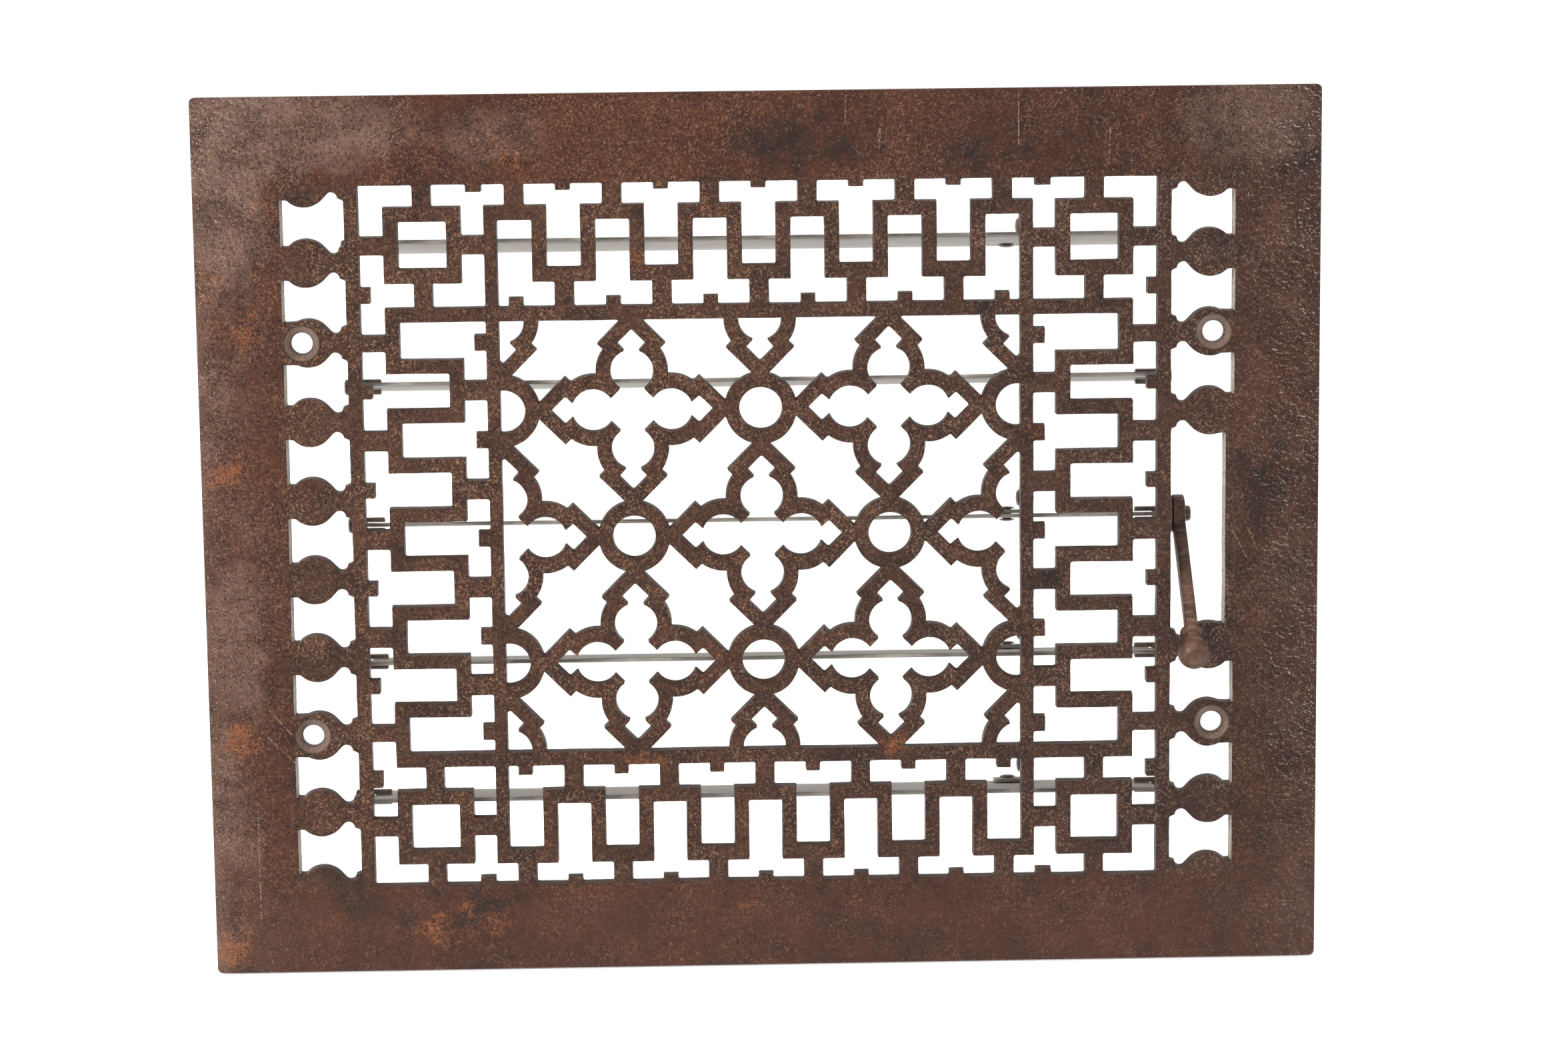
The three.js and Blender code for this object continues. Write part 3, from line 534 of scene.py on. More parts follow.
def lattice_gap():
    q, half, r = QUATREFOIL, LATTICE.pitch / 2, LATTICE.ring_out
    meet = (q.lobe + math.sqrt(2 * r * r - q.lobe ** 2)) / 2
    rise = LATTICE.pitch - q.tip_out
    tip = (math.sqrt(2 * r * r - rise * rise) - rise) / 2
    step_x, step_z = q.step
    arm = [(tip, q.tip_out - tip), (q.tip_out - q.shoulder, q.shoulder)]
    arm += arc(0, q.lobe, r, degrees(step_z - q.lobe, step_x), degrees(meet - q.lobe, meet), 9)
    mirrored = [(z, x) for x, z in reversed(arm)][1:]
    start = degrees(tip, q.tip_out - tip - LATTICE.pitch)
    ring = arc(LATTICE.pitch, 0, r, start, 270 - start, 10)[1:-1]
    halfway = shift(arm + mirrored + ring, -half, -half)
    return halfway + [(-x, -z) for x, z in halfway]


def clip_at(points, axis, sign, limit):
    kept = []
    for point, after in zip(points, points[1:] + points[:1]):
        here, there = limit - sign * point[axis], limit - sign * after[axis]
        if here >= 0:
            kept.append(point)
        if here * there < 0:
            t = here / (here - there)
            kept.append((point[0] + t * (after[0] - point[0]), point[1] + t * (after[1] - point[1])))
    return kept


def clip_to_panel(points):
    for sign in (1, -1):
        points = clip_at(points, 0, sign, INNER_BAR.inside)
        points = clip_at(points, 1, sign, CROSS_BAR.inside)
    return points


def lattice_openings():
    pitch, openings = LATTICE.pitch, []
    for i in range(-2, 3):
        for j in range(-2, 3):
            cell = quatrefoil_inside() if (i + j) % 2 == 0 else hole(0, 0, LATTICE.ring_in, 40)
            openings.append(shift(cell, i * pitch, j * pitch))
    for i in range(-2, 2):
        for j in range(-2, 2):
            gap = lattice_gap() if (i + j) % 2 == 0 else flip_x(lattice_gap())
            openings.append(shift(gap, (i + 0.5) * pitch, (j + 0.5) * pitch))
    return [p for p in map(clip_to_panel, openings) if len(p) > 2]


def under_medallion(z, outer_wall, inner_wall, foot):
    c = COLUMN
    mx, mr, pocket_z = c.medallion_x, c.medallion_r, z - c.pocket_drop
    dx, dz = c.pocket_x - mx, pocket_z - z
    towards = degrees(dz, dx)
    swing = math.degrees(math.acos((mr + c.pocket_r) / math.hypot(dx, dz)))
    start = degrees(-math.sqrt(mr ** 2 - (foot[0] - mx) ** 2), foot[0] - mx)
    return ([(outer_wall, z - foot[1])]
            + arc(mx, z, mr, start, towards + swing, 14)
            + arc(c.pocket_x, pocket_z, c.pocket_r, towards + swing + 180, 180, 8)
            + [(c.step_x, z - c.step_drop), (inner_wall, z - c.wall_drop)])


def column_opening(reach, outer_wall, inner_wall, foot_above, foot_below):
    return (under_medallion(reach, outer_wall, inner_wall, foot_above)
            + flip_z(under_medallion(reach, outer_wall, inner_wall, foot_below)))


def column_openings():
    pitch = COLUMN.pitch

    def opening(i):
        feet = [FIXING_FOOT if abs(i + k) == FIXING.pitches else PLAIN_FOOT for k in (0.5, -0.5)]
        return shift(column_opening(pitch / 2, FIELD.x, COLUMN.inside, *feet), 0, i * pitch)
    left = [flip_x(opening(i)) for i in range(-4, 5)]
    right = [opening(i) for i in (-4, -3, -2, 2, 3, 4)]
    slot = column_opening(SLOT.pitches * pitch, SLOT.outside, SLOT.inside, SLOT_FOOT, SLOT_FOOT)
    return left + right + [slot]


# ------------ meshes


def signed_area(points):
    return 0.5 * sum(a[0] * b[1] - b[0] * a[1] for a, b in zip(points, points[1:] + points[:1]))


def corner_shift(first, second, first_offset, second_offset):
    """How far a corner moves when the edges before and after it move along their normals."""
    cross = first.x * second.y - first.y * second.x
    if abs(cross) < 0.2:
        move = (first * first_offset + second * second_offset) / (1 + first.dot(second))
    else:
        move = Vector((first_offset * second.y - second_offset * first.y,
                       first.x * second_offset - second.x * first_offset)) / cross
    longest = 2.0 * max(abs(first_offset), abs(second_offset))
    return move * (longest / move.length) if move.length > longest else move


def wall(points, sections, left_radius, right_radius, spacing, waver=0.0, edge_offset=None):
    """A wall that runs round an outline, as rings of (u, v, depth) with equal numbers of points.

    sections are (offset, depth) pairs, and an offset moves an edge to the right of its direction.
    edge_offset may give some edges another offset at a depth.
    """
    base = [Vector(p) for p in points]
    base = [p for i, p in enumerate(base) if (p - base[i - 1]).length > 0.01]
    count = len(base)
    edges = [base[(i + 1) % count] - base[i] for i in range(count)]
    normals = [Vector((e.y, -e.x)).normalized() for e in edges]
    turns = [edges[i].angle_signed(edges[i - 1]) for i in range(count)]
    pieces = [max(1, math.ceil(e.length / spacing)) for e in edges]
    rings = []
    for offset, depth in sections:
        offsets = [edge_offset(base[i], normals[i], offset, depth) if edge_offset else offset
                   for i in range(count)]
        moved = [base[i] + corner_shift(normals[i - 1], normals[i], offsets[i - 1], offsets[i])
                 for i in range(count)]
        clusters = []
        for i, at in enumerate(moved):
            into, away = at - moved[i - 1], moved[(i + 1) % count] - at
            if abs(turns[i]) < math.radians(24):
                clusters.append([at])
                continue
            radius = max(left_radius + offset if turns[i] > 0 else right_radius - offset, 0.03)
            reach = min(radius * math.tan(abs(turns[i]) / 2), 0.45 * into.length, 0.45 * away.length)
            start, end = at - into.normalized() * reach, at + away.normalized() * reach
            clusters.append([(1 - t) ** 2 * start + 2 * t * (1 - t) * at + t * t * end
                             for t in (0, 0.25, 0.5, 0.75, 1)])
        ring = []
        for i, cluster in enumerate(clusters):
            end, start = clusters[(i + 1) % count][0], cluster[-1]
            ring += cluster + [start.lerp(end, k / pieces[i]) for k in range(1, pieces[i])]
        rings.append([(p.x, p.y, depth) for p in ring])
    return [[waver_at(p, waver) for p in ring] for ring in rings] if waver else rings


def waver_at(point, amount):
    """A point of a cast edge, moved a little by an unevenness that every depth shares."""
    u, v, depth = point
    broad, small = Vector((u * 0.07, v * 0.07, 3.0)), Vector((u * 0.38, v * 0.38, 9.0))
    field = noise.noise_vector(broad) + 0.6 * noise.noise_vector(small)
    return (u + amount * field.x, v + amount * field.y, depth)


def metal_triangles(triangles, opening_edges):
    """The triangles outside the openings, whose edges have the void on their left."""
    beside = {}
    for index, (a, b, c) in enumerate(triangles):
        beside[a, b] = beside[b, c] = beside[c, a] = index
    empty = {beside[edge] for edge in opening_edges if edge in beside}
    waiting = list(empty)
    while waiting:
        a, b, c = triangles[waiting.pop()]
        for edge in ((a, b), (b, c), (c, a)):
            other = beside.get(edge[::-1])
            if edge not in opening_edges and other is not None and other not in empty:
                empty.add(other)
                waiting.append(other)
    return [t for i, t in enumerate(triangles) if i not in empty]


def spread_points(taken, spacing, low, high):
    """Points spread evenly between two corners, a little way from every point already taken."""
    tree = kdtree.KDTree(len(taken))
    for i, (u, v) in enumerate(taken):
        tree.insert((u, v, 0), i)
    tree.balance()
    points = []
    for j in range(1, int((high[1] - low[1]) / spacing)):
        for i in range(1, int((high[0] - low[0]) / spacing)):
            u, v = low[0] + (i + 0.5 * (j % 2)) * spacing, low[1] + j * spacing
            if u < high[0] - 0.3 * spacing and tree.find((u, v, 0))[2] > 0.6 * spacing:
                points.append((u, v))
    return points


def slab_mesh(walls, spacing, skin=None, back_skin=None):
    """Vertices and faces of a slab: openings first and its rim last, each as rings from front to back."""
    front = [(u, v) for rings in walls for u, v, _ in rings[0]]
    back = [p for rings in walls for p in rings[-1]]
    starts = [0]
    for rings in walls:
        starts.append(starts[-1] + len(rings[0]))
    edges = [(s + k, s + (k + 1) % (e - s)) for s, e in zip(starts, starts[1:]) for k in range(e - s)]
    low = [min(p[k] for p in front) for k in (0, 1)]
    high = [max(p[k] for p in front) for k in (0, 1)]
    inner = spread_points(front, spacing, low, high) if spacing else []
    result = geometry.delaunay_2d_cdt([Vector(p) for p in front + inner], edges, [], 1, 1e-7)
    skin_points, triangles, origins = result[0], [tuple(t) for t in result[2]], result[3]
    source = [min(origin) if origin else -1 for origin in origins]
    where = {s: i for i, s in enumerate(source) if s >= 0}
    opening_edges = {(where[a], where[b]) for a, b in edges[:starts[-2]]}
    triangles = metal_triangles(triangles, opening_edges)

    vertices, faces = [], []
    depth = walls[-1][-1][0][2]
    for i, point in enumerate(skin_points):
        sunk = skin(point.x, point.y) if skin else 0.0
        vertices.append((point.x, point.y, sunk))
        at = back[source[i]] if 0 <= source[i] < len(back) else (point.x, point.y, depth)
        raised = back_skin(at[0], at[1]) if back_skin else 0.0
        vertices.append((at[0], at[1], at[2] - raised))
    for a, b, c in triangles:
        faces += [(2 * a, 2 * c, 2 * b), (2 * a + 1, 2 * b + 1, 2 * c + 1)]
    for rings, start in zip(walls, starts):
        size = len(rings[0])
        levels = [[2 * where[start + k] for k in range(size)]]
        for ring in rings[1:-1]:
            levels.append(range(len(vertices), len(vertices) + size))
            for k, (u, v, w) in enumerate(ring):
                sunk = skin(*rings[0][k][:2]) * max(0.0, 1 - 1.2 * w / depth) if skin else 0.0
                vertices.append((u, v, w + sunk))
        levels.append([2 * where[start + k] + 1 for k in range(size)])
        for upper, lower in zip(levels, levels[1:]):
            faces += [(upper[k], upper[(k + 1) % size], lower[(k + 1) % size], lower[k]) for k in range(size)]
    return vertices, faces


def smooth_between_sharp_edges(bm, sharp):
    for edge in bm.edges:
        edge.smooth = not (edge.is_manifold and edge.calc_face_angle(0.0) > math.radians(sharp))


def piece(name, shells, material, sharp=38.0):
    """One object from closed shells, each (vertices, faces, matrix), shaded smooth between sharp edges."""
    bm = bmesh.new()
    for vertices, faces, matrix in shells:
        made = [bm.verts.new((matrix @ Vector(v)) * MM) for v in vertices]
        for corners in faces:
            bm.faces.new([made[i] for i in corners])
    loose = [v for v in bm.verts if not v.link_faces]
    bmesh.ops.delete(bm, geom=loose, context="VERTS")
    bmesh.ops.recalc_face_normals(bm, faces=bm.faces)
    for face in bm.faces:
        face.smooth = True
    smooth_between_sharp_edges(bm, sharp)
    mesh = bpy.data.meshes.new(name)
    bm.to_mesh(mesh)
    bm.free()
    mesh.materials.append(material)
    made_piece = bpy.data.objects.new(name, mesh)
    bpy.context.collection.objects.link(made_piece)
    return made_piece


def carve(target, shape, matrix):
    """Cuts a closed shell out of a piece."""
    tool = piece(f"{target.name}.tool", [(*shape, matrix)], target.data.materials[0])
    modifier = target.modifiers.new("cut", "BOOLEAN")
    modifier.operation, modifier.solver, modifier.object = "DIFFERENCE", "EXACT", tool
    seen = target.evaluated_get(bpy.context.evaluated_depsgraph_get())
    mesh = bpy.data.meshes.new_from_object(seen)
    target.modifiers.clear()
    target.data = mesh
    bpy.data.objects.remove(tool)
    bm = bmesh.new()
    bm.from_mesh(mesh)
    smooth_between_sharp_edges(bm, 32.0)
    bm.to_mesh(mesh)
    bm.free()


def add(name, node, body, slot, shells, cut=None, sharp=38.0):
    """Makes a piece in a slot's look, cuts a (shape, matrix) out of it and puts it in its node's place."""
    made_piece = piece(name, shells, LOOKS[slot], sharp)
    if cut:
        carve(made_piece, *cut)
    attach(made_piece, body)
    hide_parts(node)


# ------------ the face casting

SPACING, SKIN_SPACING = 1.5, 2.3              # of the points along the walls and over the skins
WAVER, COLUMN_WAVER = 0.10, 0.12              # how far the cast walls waver
EDGE = 0.3                                    # rounding of the front edges
OPENING_CORNER, METAL_CORNER = 0.75, 0.25     # radii in the openings' corners and on the metal's
RIM_CORNER = 1.8
CASTING_SHARP = 42.0                          # edges that turn more than this many degrees stay sharp
THICK = FACE.thickness
WALL = [(EDGE, 0.0), (EDGE * 0.3, EDGE * 0.28), (0.0, EDGE), (-0.16, THICK)]
SINK_DROP = FIXING.sink - FIXING.hole
SINK = [(SINK_DROP + 0.2, 0.0), (SINK_DROP - 0.05, 0.18), (0.15, FIXING.depth),
        (0.0, FIXING.depth + 0.2), (0.0, THICK)]
RIM = [(-0.6, 0.0), (-0.22, 0.14), (-0.04, 0.45), (0.0, THICK * 0.4), (-0.1, THICK)]
OUTER_DRAFT = 0.62                            # extra slope of the columns' outer walls


def column_draft(point, normal, offset, depth):
    outer = abs(point.x) > 145 and normal.x * point.x > 0.8 * abs(point.x)
    return offset - (OUTER_DRAFT - 0.16) * depth / THICK if outer else offset


def uneven(x, z):
    """How far the skin of the casting lies behind its flat front."""
    waves = 0.10 + 0.10 * noise.fractal(Vector((x * 0.03, z * 0.03, 0.0)), 1.0, 2.1, 3)
    ripple = 0.03 * (1 + noise.noise(Vector((x * 0.33, z * 0.33, 5.0))))
    side = max(0.0, 1 - (FACE.width / 2 - abs(x)) / 9.0)
    lip = max(0.0, 1 - (FACE.height / 2 - abs(z)) / 5.0)
    return max(0.0, waves) + ripple + 0.5 * side ** 2 + 0.25 * lip ** 2


def rough_back(x, z):
    return 0.04 * (1 + noise.noise(Vector((x * 0.12, z * 0.12, 8.0))))


def face_walls():
    openings = key_openings() + side_key_openings() + corner_openings() + lattice_openings()
    corners = OPENING_CORNER, METAL_CORNER, SPACING
    walls = [wall(p, WALL, *corners, WAVER) for p in openings]
    walls += [wall(p, WALL, *corners, COLUMN_WAVER, column_draft) for p in column_openings()]
    walls += [wall(hole(x, z, FIXING.hole, 40), SINK, 1.0, 1.0, 5.0) for x, z in FIXINGS]
    x, z = FACE.width / 2, FACE.height / 2
    return walls + [wall([(-x, -z), (x, -z), (x, z), (-x, z)], RIM, RIM_CORNER, RIM_CORNER, SPACING)]


FRONT = Matrix(((1, 0, 0, 0), (0, 0, 1, 0), (0, 1, 0, 0), (0, 0, 0, 1)))      # (x, z, depth)
SIDE = Matrix(((0, 0, 1, 0), (1, 0, 0, 0), (0, 1, 0, 0), (0, 0, 0, 1)))       # (y, z, x)


def moved(x, y, z):
    return Matrix.Translation((x, y, z))


face_shell = slab_mesh(face_walls(), SKIN_SPACING, uneven, rough_back)
add("face_casting", "face_plate", "frame", "cast_iron_face", [(*face_shell, moved(0, -THICK, 0) @ FRONT)],
    sharp=CASTING_SHARP)

# ------------ the valve's dimensions

GAP, CLEAR, OVERLAP = 0.3, 0.35, 0.02         # between pieces, round a pin, and of shells in one piece
PIVOT = Sizes(y=27.5, heights=(90, 45, 0, -45, -90))
OPEN_TILT = math.radians(9.3)
BLADE = Sizes(length=127, width=23.5, thickness=1.2)
TRUNNION = Sizes(r=2.5, inside=121.5, outside=133.2)
RAIL = Sizes(x0=129.2, x1=131.0, front=21, back=34, end=119, open=113)
FOOT = Sizes(x0=121, top=121.5, thickness=2)
TIE = Sizes(length=128.9, z0=113.5, z1=120.5, thickness=1.5)
VALVE_SCREW = Sizes(x=125, z=117.2, r=1.9, head=3.9, height=2.2, depth=2.9, slot_angles=(35, 80, 10, 120))
THREAD = Sizes(pitch=0.8, depth=0.28)
EAR = Sizes(x0=86.2, x1=87.7, foot_x=76.5, foot_y=(9, 19), thick=1.2, heel=22, pin=(27, 6), eye=3.6,
            rivet=(81, 14), rivet_r=1.5)
LINK = Sizes(x0=88.3, x1=89.8, half=3.2, end=4.2)
LEVER = Sizes(x0=133.5, x1=137.5, hub=6.2, half=2.5, length=50, rest=math.radians(39), shaft=139.6)
SET_SCREW = Sizes(r=1.3, length=2.9)
KNOB = Sizes(r=5.2, length=14)

# ------------ plates and turned pieces


def plate(outline, holes, thickness, bevel=0.2, corner=0.8, spacing=3.0, grid=None):
    """A plate with softened edges and corners, from depth 0 to its thickness."""
    def sections(sign):
        rounded = [(sign * bevel, 0.0), (sign * bevel * 0.3, bevel * 0.3), (0.0, bevel)]
        return rounded + [(offset, thickness - depth) for offset, depth in reversed(rounded)]
    walls = [wall(hole, sections(1), 0.5, 0.5, 5.0) for hole in holes]
    outline = outline if signed_area(outline) > 0 else outline[::-1]
    return slab_mesh(walls + [wall(outline, sections(-1), corner, corner, spacing)], grid)


def rectangle(u0, u1, v0, v1):
    return [(u0, v0), (u1, v0), (u1, v1), (u0, v1)]


def turned(profile, sides=40):
    """A turned piece along +X, from (radius, distance) pairs that start and end on the axis."""
    vertices, faces, rings = [], [], []
    for r, d in profile:
        if r < 1e-6:
            rings.append([len(vertices)] * sides)
            vertices.append((d, 0, 0))
        else:
            rings.append([len(vertices) + k for k in range(sides)])
            vertices += [(d, r * math.cos(2 * math.pi * k / sides), r * math.sin(2 * math.pi * k / sides))
                         for k in range(sides)]
    for a, b in zip(rings, rings[1:]):
        for k in range(sides):
            corners = [a[k], a[(k + 1) % sides], b[(k + 1) % sides], b[k]]
            corners = [c for i, c in enumerate(corners) if c not in corners[:i]]
            if len(corners) > 2:
                faces.append(corners)
    return vertices, faces


def box_mesh(x0, x1, y0, y1, z0, z1):
    vertices = [(x, y, z) for x in (x0, x1) for y in (y0, y1) for z in (z0, z1)]
    return vertices, [(0, 1, 3, 2), (4, 6, 7, 5), (0, 4, 5, 1), (2, 3, 7, 6), (0, 2, 6, 4), (1, 5, 7, 3)]


def dome(r, start, height, steps=6):
    """Profile of a low domed head from its rim at distance start to its middle."""
    return [(r * math.cos(a), start + height * math.sin(a))
            for a in (math.pi / 2 * k / steps for k in range(steps))] + [(0.0, start + height)]


# ------------ the valve's frame


def side_rail(side):
    name = "right_side_rail" if side > 0 else "left_side_rail"
    r = RAIL
    outline = [(GAP, -r.end), (r.back, -r.end), (r.back, r.end), (GAP, r.end),
               (GAP, r.open), (r.front, r.open), (r.front, -r.open), (GAP, -r.open)]
    bearings = [hole(PIVOT.y, z, TRUNNION.r + CLEAR) for z in PIVOT.heights]
    x = r.x0 if side > 0 else -r.x1
    parts = [(*plate(outline, bearings, r.x1 - r.x0, 0.28, 1.6), moved(x, 0, 0) @ SIDE)]
    for end in (1, -1):
        us = sorted((side * FOOT.x0, side * (r.x1 - OVERLAP)))
        vs = sorted((end * r.open, end * FOOT.top))
        screw = hole(side * VALVE_SCREW.x, end * VALVE_SCREW.z, VALVE_SCREW.r + CLEAR)
        foot = plate(rectangle(*us, *vs), [screw], FOOT.thickness, 0.28, 1.0)
        parts.append((*foot, moved(0, GAP, 0) @ FRONT))
    add(f"{name}_sheet", name, "frame", "sheet_steel", parts)


def tie_bar(end):
    name = "top_tie_bar" if end > 0 else "bottom_tie_bar"
    zs = sorted((end * TIE.z0, end * TIE.z1))
    screws = [hole(side * VALVE_SCREW.x, end * VALVE_SCREW.z, VALVE_SCREW.r + CLEAR)
              for side in (1, -1)]
    bar = plate(rectangle(-TIE.length, TIE.length, *zs), screws, TIE.thickness, 0.22, 1.4)
    place = moved(0, 2 * GAP + FOOT.thickness, 0) @ FRONT
    add(f"{name}_sheet", name, "frame", "sheet_steel", [(*bar, place)])


def valve_screw(number, x, z):
    s = VALVE_SCREW
    seat = 3 * GAP + FOOT.thickness + TIE.thickness
    profile = [(0, -s.depth), (s.r - 0.4, -s.depth), (s.r, -s.depth + 0.4)]
    pitch = THREAD.pitch
    for k in range(int((seat + s.depth - pitch) / pitch)):
        d = -s.depth + 0.6 + pitch * k
        profile += [(s.r, d), (s.r - THREAD.depth, d + pitch / 2)]
    profile += [(s.r, seat - 0.05), (s.head - 0.15, seat), (s.head, seat + 0.15)]
    profile += dome(s.head, seat + 0.5, s.height - 0.5, 7)
    place, name = moved(x, 0, z) @ Matrix.Rotation(math.pi / 2, 4, "Z"), f"valve_screw_{number}"
    slot = box_mesh(seat + s.height - 0.9, seat + s.height + 1, -6, 6, -0.5, 0.5)
    turn = Matrix.Rotation(math.radians(s.slot_angles[number - 1]), 4, "X")
    add(f"{name}_turned", name, "frame", "steel_rod", [(*turned(profile), place)], (slot, place @ turn))


for side in (1, -1):
    side_rail(side)
    tie_bar(side)
for number, (x, z) in enumerate([(1, 1), (-1, 1), (1, -1), (-1, -1)], 1):
    valve_screw(number, x * VALVE_SCREW.x, z * VALVE_SCREW.z)

# ------------ the louvres

BODIES = ("top_louvre", "upper_louvre", "middle_louvre", "lower_louvre", "bottom_louvre")


def rivet(r, head, height, grip):
    return turned([(0, -height)] + [(p, -d) for p, d in reversed(dome(head, 0, height)[:-1])]
                  + [(r, 0.0), (r, grip)] + dome(head, grip, height))


def louvre(number):
    body, height = BODIES[number - 1], PIVOT.heights[number - 1]
    place = moved(0, PIVOT.y, height) @ Matrix.Rotation(-OPEN_TILT, 4, "X")
    half = BLADE.thickness / 2
    rivet_hole = hole(*EAR.rivet, EAR.rivet_r + CLEAR)

    blade = plate(rectangle(-BLADE.length, BLADE.length, -BLADE.width, BLADE.width),
                  [rivet_hole], BLADE.thickness, 0.22, 1.2, 4.0, 6.0)
    name = f"louvre_blade_{number}"
    add(f"{name}_sheet", name, body, "sheet_steel", [(*blade, place @ moved(0, 0, -half))])

    for side, name in ((-1, f"left_trunnion_{number}"), (1, f"right_trunnion_{number}")):
        outside = TRUNNION.outside
        if number == 3 and side > 0:
            name, outside = "lever_shaft", LEVER.shaft
        r, inside, slit = TRUNNION.r, TRUNNION.inside, half + GAP
        rod = turned([(0, inside), (r - 0.3, inside), (r, inside + 0.3), (r, outside - 0.5),
                      (r - 0.5, outside), (0, outside)])
        end = place if side > 0 else place @ Matrix.Rotation(math.pi, 4, "Z")
        gap = box_mesh(inside - 1, BLADE.length + GAP, -4, 4, -slit, slit)
        add(f"{name}_rod", name, body, "steel_rod", [(*rod, end)], (gap, end))

    seat = half + GAP
    (y0, y1), (pin_y, pin_z) = EAR.foot_y, EAR.pin
    bend = arc(pin_y, pin_z, EAR.eye, -90, 90, 18)
    web = plate([(y0, seat), (EAR.heel, seat)] + bend + [(y0, seat + EAR.thick)],
                [hole(pin_y, pin_z, EAR.rivet_r + CLEAR)], EAR.x1 - EAR.x0, 0.18, 0.5)
    foot = plate(rectangle(EAR.foot_x, EAR.x1 - OVERLAP, y0, y1), [rivet_hole], EAR.thick, 0.18, 0.8)
    name = f"louvre_ear_{number}"
    add(f"{name}_sheet", name, body, "sheet_steel",
        [(*web, place @ moved(EAR.x0, 0, 0) @ SIDE), (*foot, place @ moved(0, 0, seat))])

    held = rivet(EAR.rivet_r, 2.6, 0.8, BLADE.thickness + EAR.thick + 3 * GAP)
    up = place @ moved(*EAR.rivet, -half - GAP) @ Matrix.Rotation(-math.pi / 2, 4, "Y")
    add(f"ear_rivet_{number}_turned", f"ear_rivet_{number}", body, "steel_rod", [(*held, up)])
    start = EAR.x0 - GAP
    pin = rivet(EAR.rivet_r, 2.7, 0.9, LINK.x1 + GAP - start)
    add(f"link_pin_{number}_turned", f"link_pin_{number}", body, "steel_rod",
        [(*pin, place @ moved(start, pin_y, pin_z))])


for number in range(1, 6):
    louvre(number)


def link_bar():
    cos, sin = math.cos(OPEN_TILT), math.sin(OPEN_TILT)
    (y, z) = EAR.pin
    y, z = PIVOT.y + y * cos + z * sin, z * cos - y * sin
    top, bottom = PIVOT.heights[0] + z + LINK.end, PIVOT.heights[-1] + z - LINK.end
    half = LINK.half
    outline = arc(y, top - half, half, 0, 180, 14) + arc(y, bottom + half, half, 180, 360, 14)
    pins = [hole(y, z + height, EAR.rivet_r + CLEAR) for height in PIVOT.heights]
    bar = plate(outline, pins, LINK.x1 - LINK.x0, 0.2, 0.4)
    add("link_bar_sheet", "link_bar", "link", "sheet_steel", [(*bar, moved(LINK.x0, 0, 0) @ SIDE)])


link_bar()

# ------------ the lever


def lever():
    body, l, screw = "middle_louvre", LEVER, SET_SCREW
    place = moved(0, PIVOT.y, 0) @ Matrix.Rotation(l.rest, 4, "X")
    middle = (l.x0 + l.x1) / 2
    back = place @ moved(middle, 0, 0) @ Matrix.Rotation(math.pi / 2, 4, "Z")
    side = math.degrees(math.asin(l.half / l.hub))
    outline = arc(0, 0, l.hub, side - 180, 180 - side, 40)
    outline += [(-l.length, l.half), (-l.length, -l.half)]
    arm = plate(outline, [hole(0, 0, TRUNNION.r + CLEAR)], l.x1 - l.x0, 0.7, 0.6)
    reach, r = l.hub + 1, screw.r + CLEAR
    tapped = turned([(0, 1), (r, 1), (r, reach), (0, reach)], 28)
    add("lever_arm_iron", "lever_arm", body, "lever_iron", [(*arm, place @ moved(l.x0, 0, 0) @ SIDE)],
        (tapped, back))

    k = KNOB
    ball = [(k.r * math.cos(a), k.length - k.r + k.r * math.sin(a))
            for a in (math.radians(-55 + 145 * i / 26) for i in range(26))]
    collar = [(3.55, 0), (3.7, 0.15), (3.7, 1.0), (3.5, 1.2), (2.75, 2.0)]
    knob = turned([(0, 0)] + collar + ball + [(0, k.length)], 56)
    front = place @ moved(middle, -l.length - GAP, 0) @ Matrix.Rotation(-math.pi / 2, 4, "Z")
    add("lever_knob_turned", "lever_knob", body, "lever_iron", [(*knob, front)])

    r, start, end = screw.r, TRUNNION.r + GAP, TRUNNION.r + GAP + screw.length
    grub = turned([(0, start), (r - 0.4, start), (r, start + 0.4), (r, end - 0.2), (r - 0.2, end), (0, end)],
                  28)
    slot = box_mesh(end - 0.8, end + 1.1, -3, 3, -0.25, 0.25)
    add("lever_set_screw_turned", "lever_set_screw", body, "steel_rod", [(*grub, back)], (slot, back))

    washer = plate(hole(0, 0, 6.6, 48), [hole(0, 0, TRUNNION.r + CLEAR)], l.x0 - RAIL.x1 - 2 * GAP,
                   0.3, 0.5)
    add("friction_washer_turned", "friction_washer", body, "steel_rod",
        [(*washer, place @ moved(RAIL.x1 + GAP, 0, 0) @ SIDE)])


lever()

# ------------ stage and light


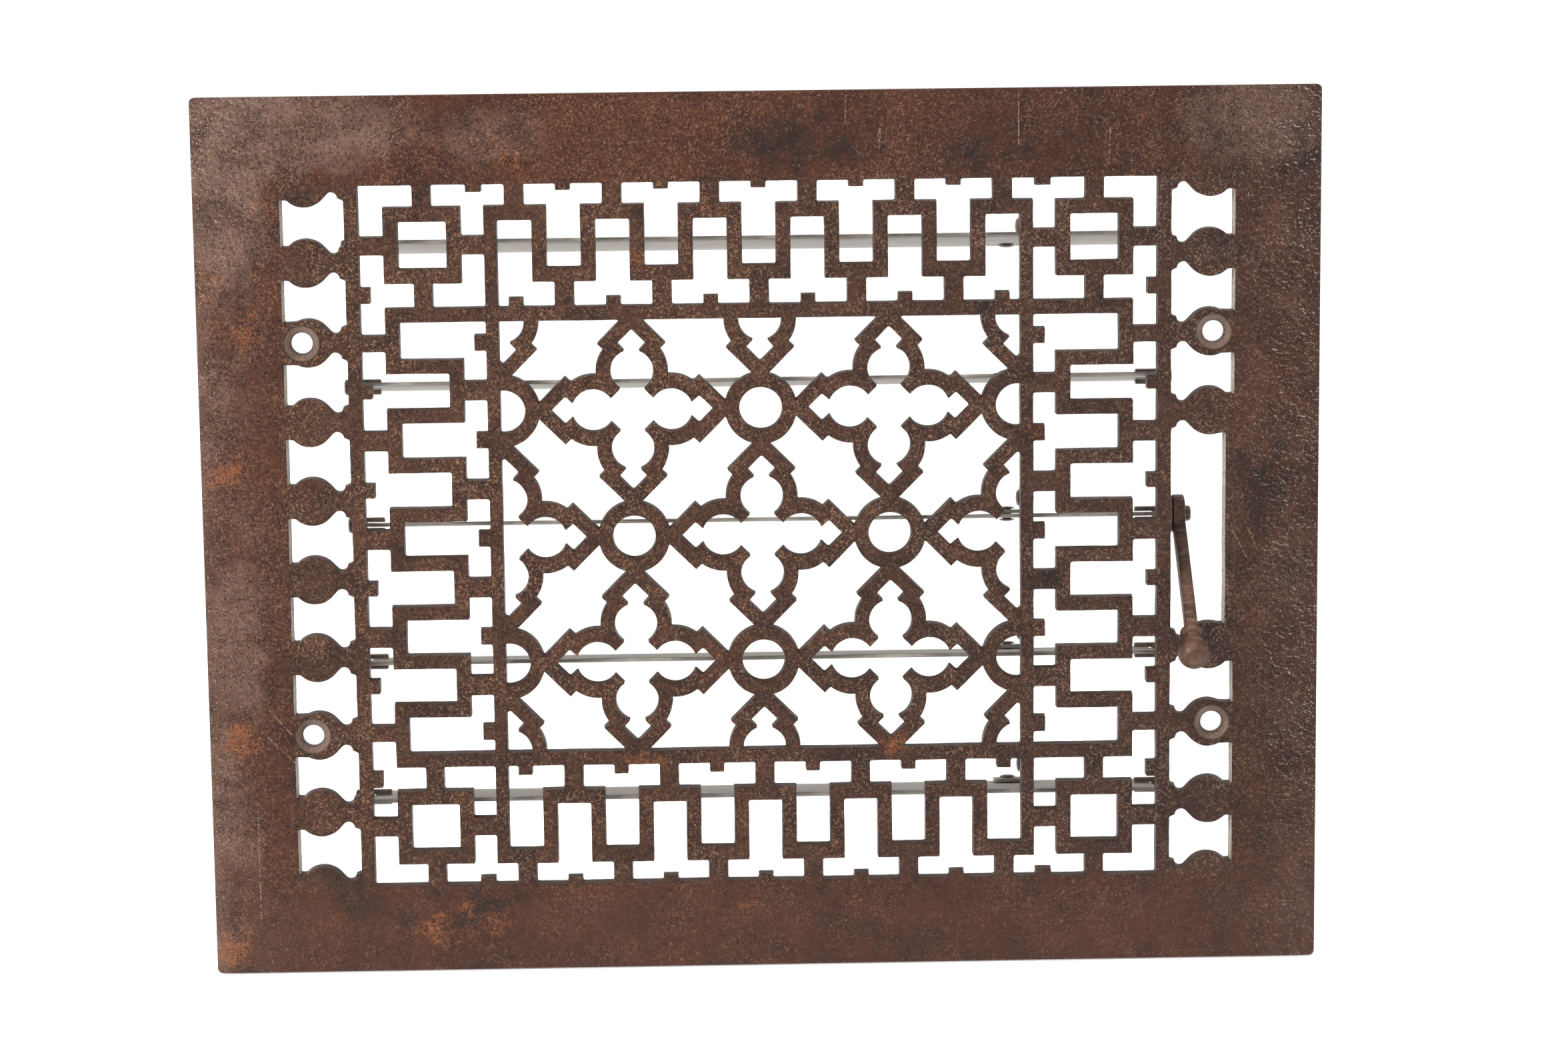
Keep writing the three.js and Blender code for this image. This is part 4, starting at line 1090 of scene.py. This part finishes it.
def stage():
    n = Nodes("pale_floor")
    tone = n.step(n.noise(0.004, 3.0), 0.3, 0.7, 0.0, 1.0)
    material = n.finish(Base_Color=n.mix(tone, (0.90, 0.90, 0.90, 1), (0.92, 0.92, 0.92, 1)), Roughness=0.9,
                        Emission_Color=(1, 1, 1, 1), Emission_Strength=0.45)
    half, low = 12000.0, -FACE.height / 2 - 0.4
    corners = [(-half, -half, low), (half, -half, low), (half, half, low), (-half, half, low)]
    piece("floor", [(corners, [(0, 1, 2, 3)], Matrix.Identity(4))], material)


def area_light(name, place, size, power):
    """A softbox that faces the middle of the face."""
    data = bpy.data.lights.new(name, "AREA")
    data.shape, data.size, data.size_y, data.energy = "RECTANGLE", size[0], size[1], power
    light = bpy.data.objects.new(name, data)
    light.location = place
    light.rotation_euler = (-Vector(place)).to_track_quat("-Z", "Y").to_euler()
    bpy.context.collection.objects.link(light)


def world():
    """A white studio all round that is dimmer behind the camera."""
    sky = bpy.data.worlds.new("soft_studio")
    sky.use_nodes = True
    tree = sky.node_tree
    background = tree.nodes["Background"]
    background.inputs["Color"].default_value = (1.0, 0.995, 0.985, 1)
    place = tree.nodes.new("ShaderNodeTexCoord")
    split = tree.nodes.new("ShaderNodeSeparateXYZ")
    ramp = tree.nodes.new("ShaderNodeMapRange")
    ramp.interpolation_type = "SMOOTHSTEP"
    for name, value in (("From Min", -0.9), ("From Max", -0.1), ("To Min", 0.10), ("To Max", 0.90)):
        ramp.inputs[name].default_value = value
    tree.links.new(place.outputs["Generated"], split.inputs[0])
    tree.links.new(split.outputs["Y"], ramp.inputs["Value"])
    tree.links.new(ramp.outputs["Result"], background.inputs["Strength"])
    bpy.context.scene.world = sky
    bpy.context.scene.view_settings.view_transform = "Standard"


stage()
world()
area_light("left_softbox", (-1.25, -1.05, 0.75), (0.45, 0.7), 27.0)
area_light("right_softbox", (1.35, -1.0, 0.6), (0.35, 0.6), 6.0)
area_light("top_softbox", (-0.1, -0.9, 1.7), (0.9, 0.4), 18.0)
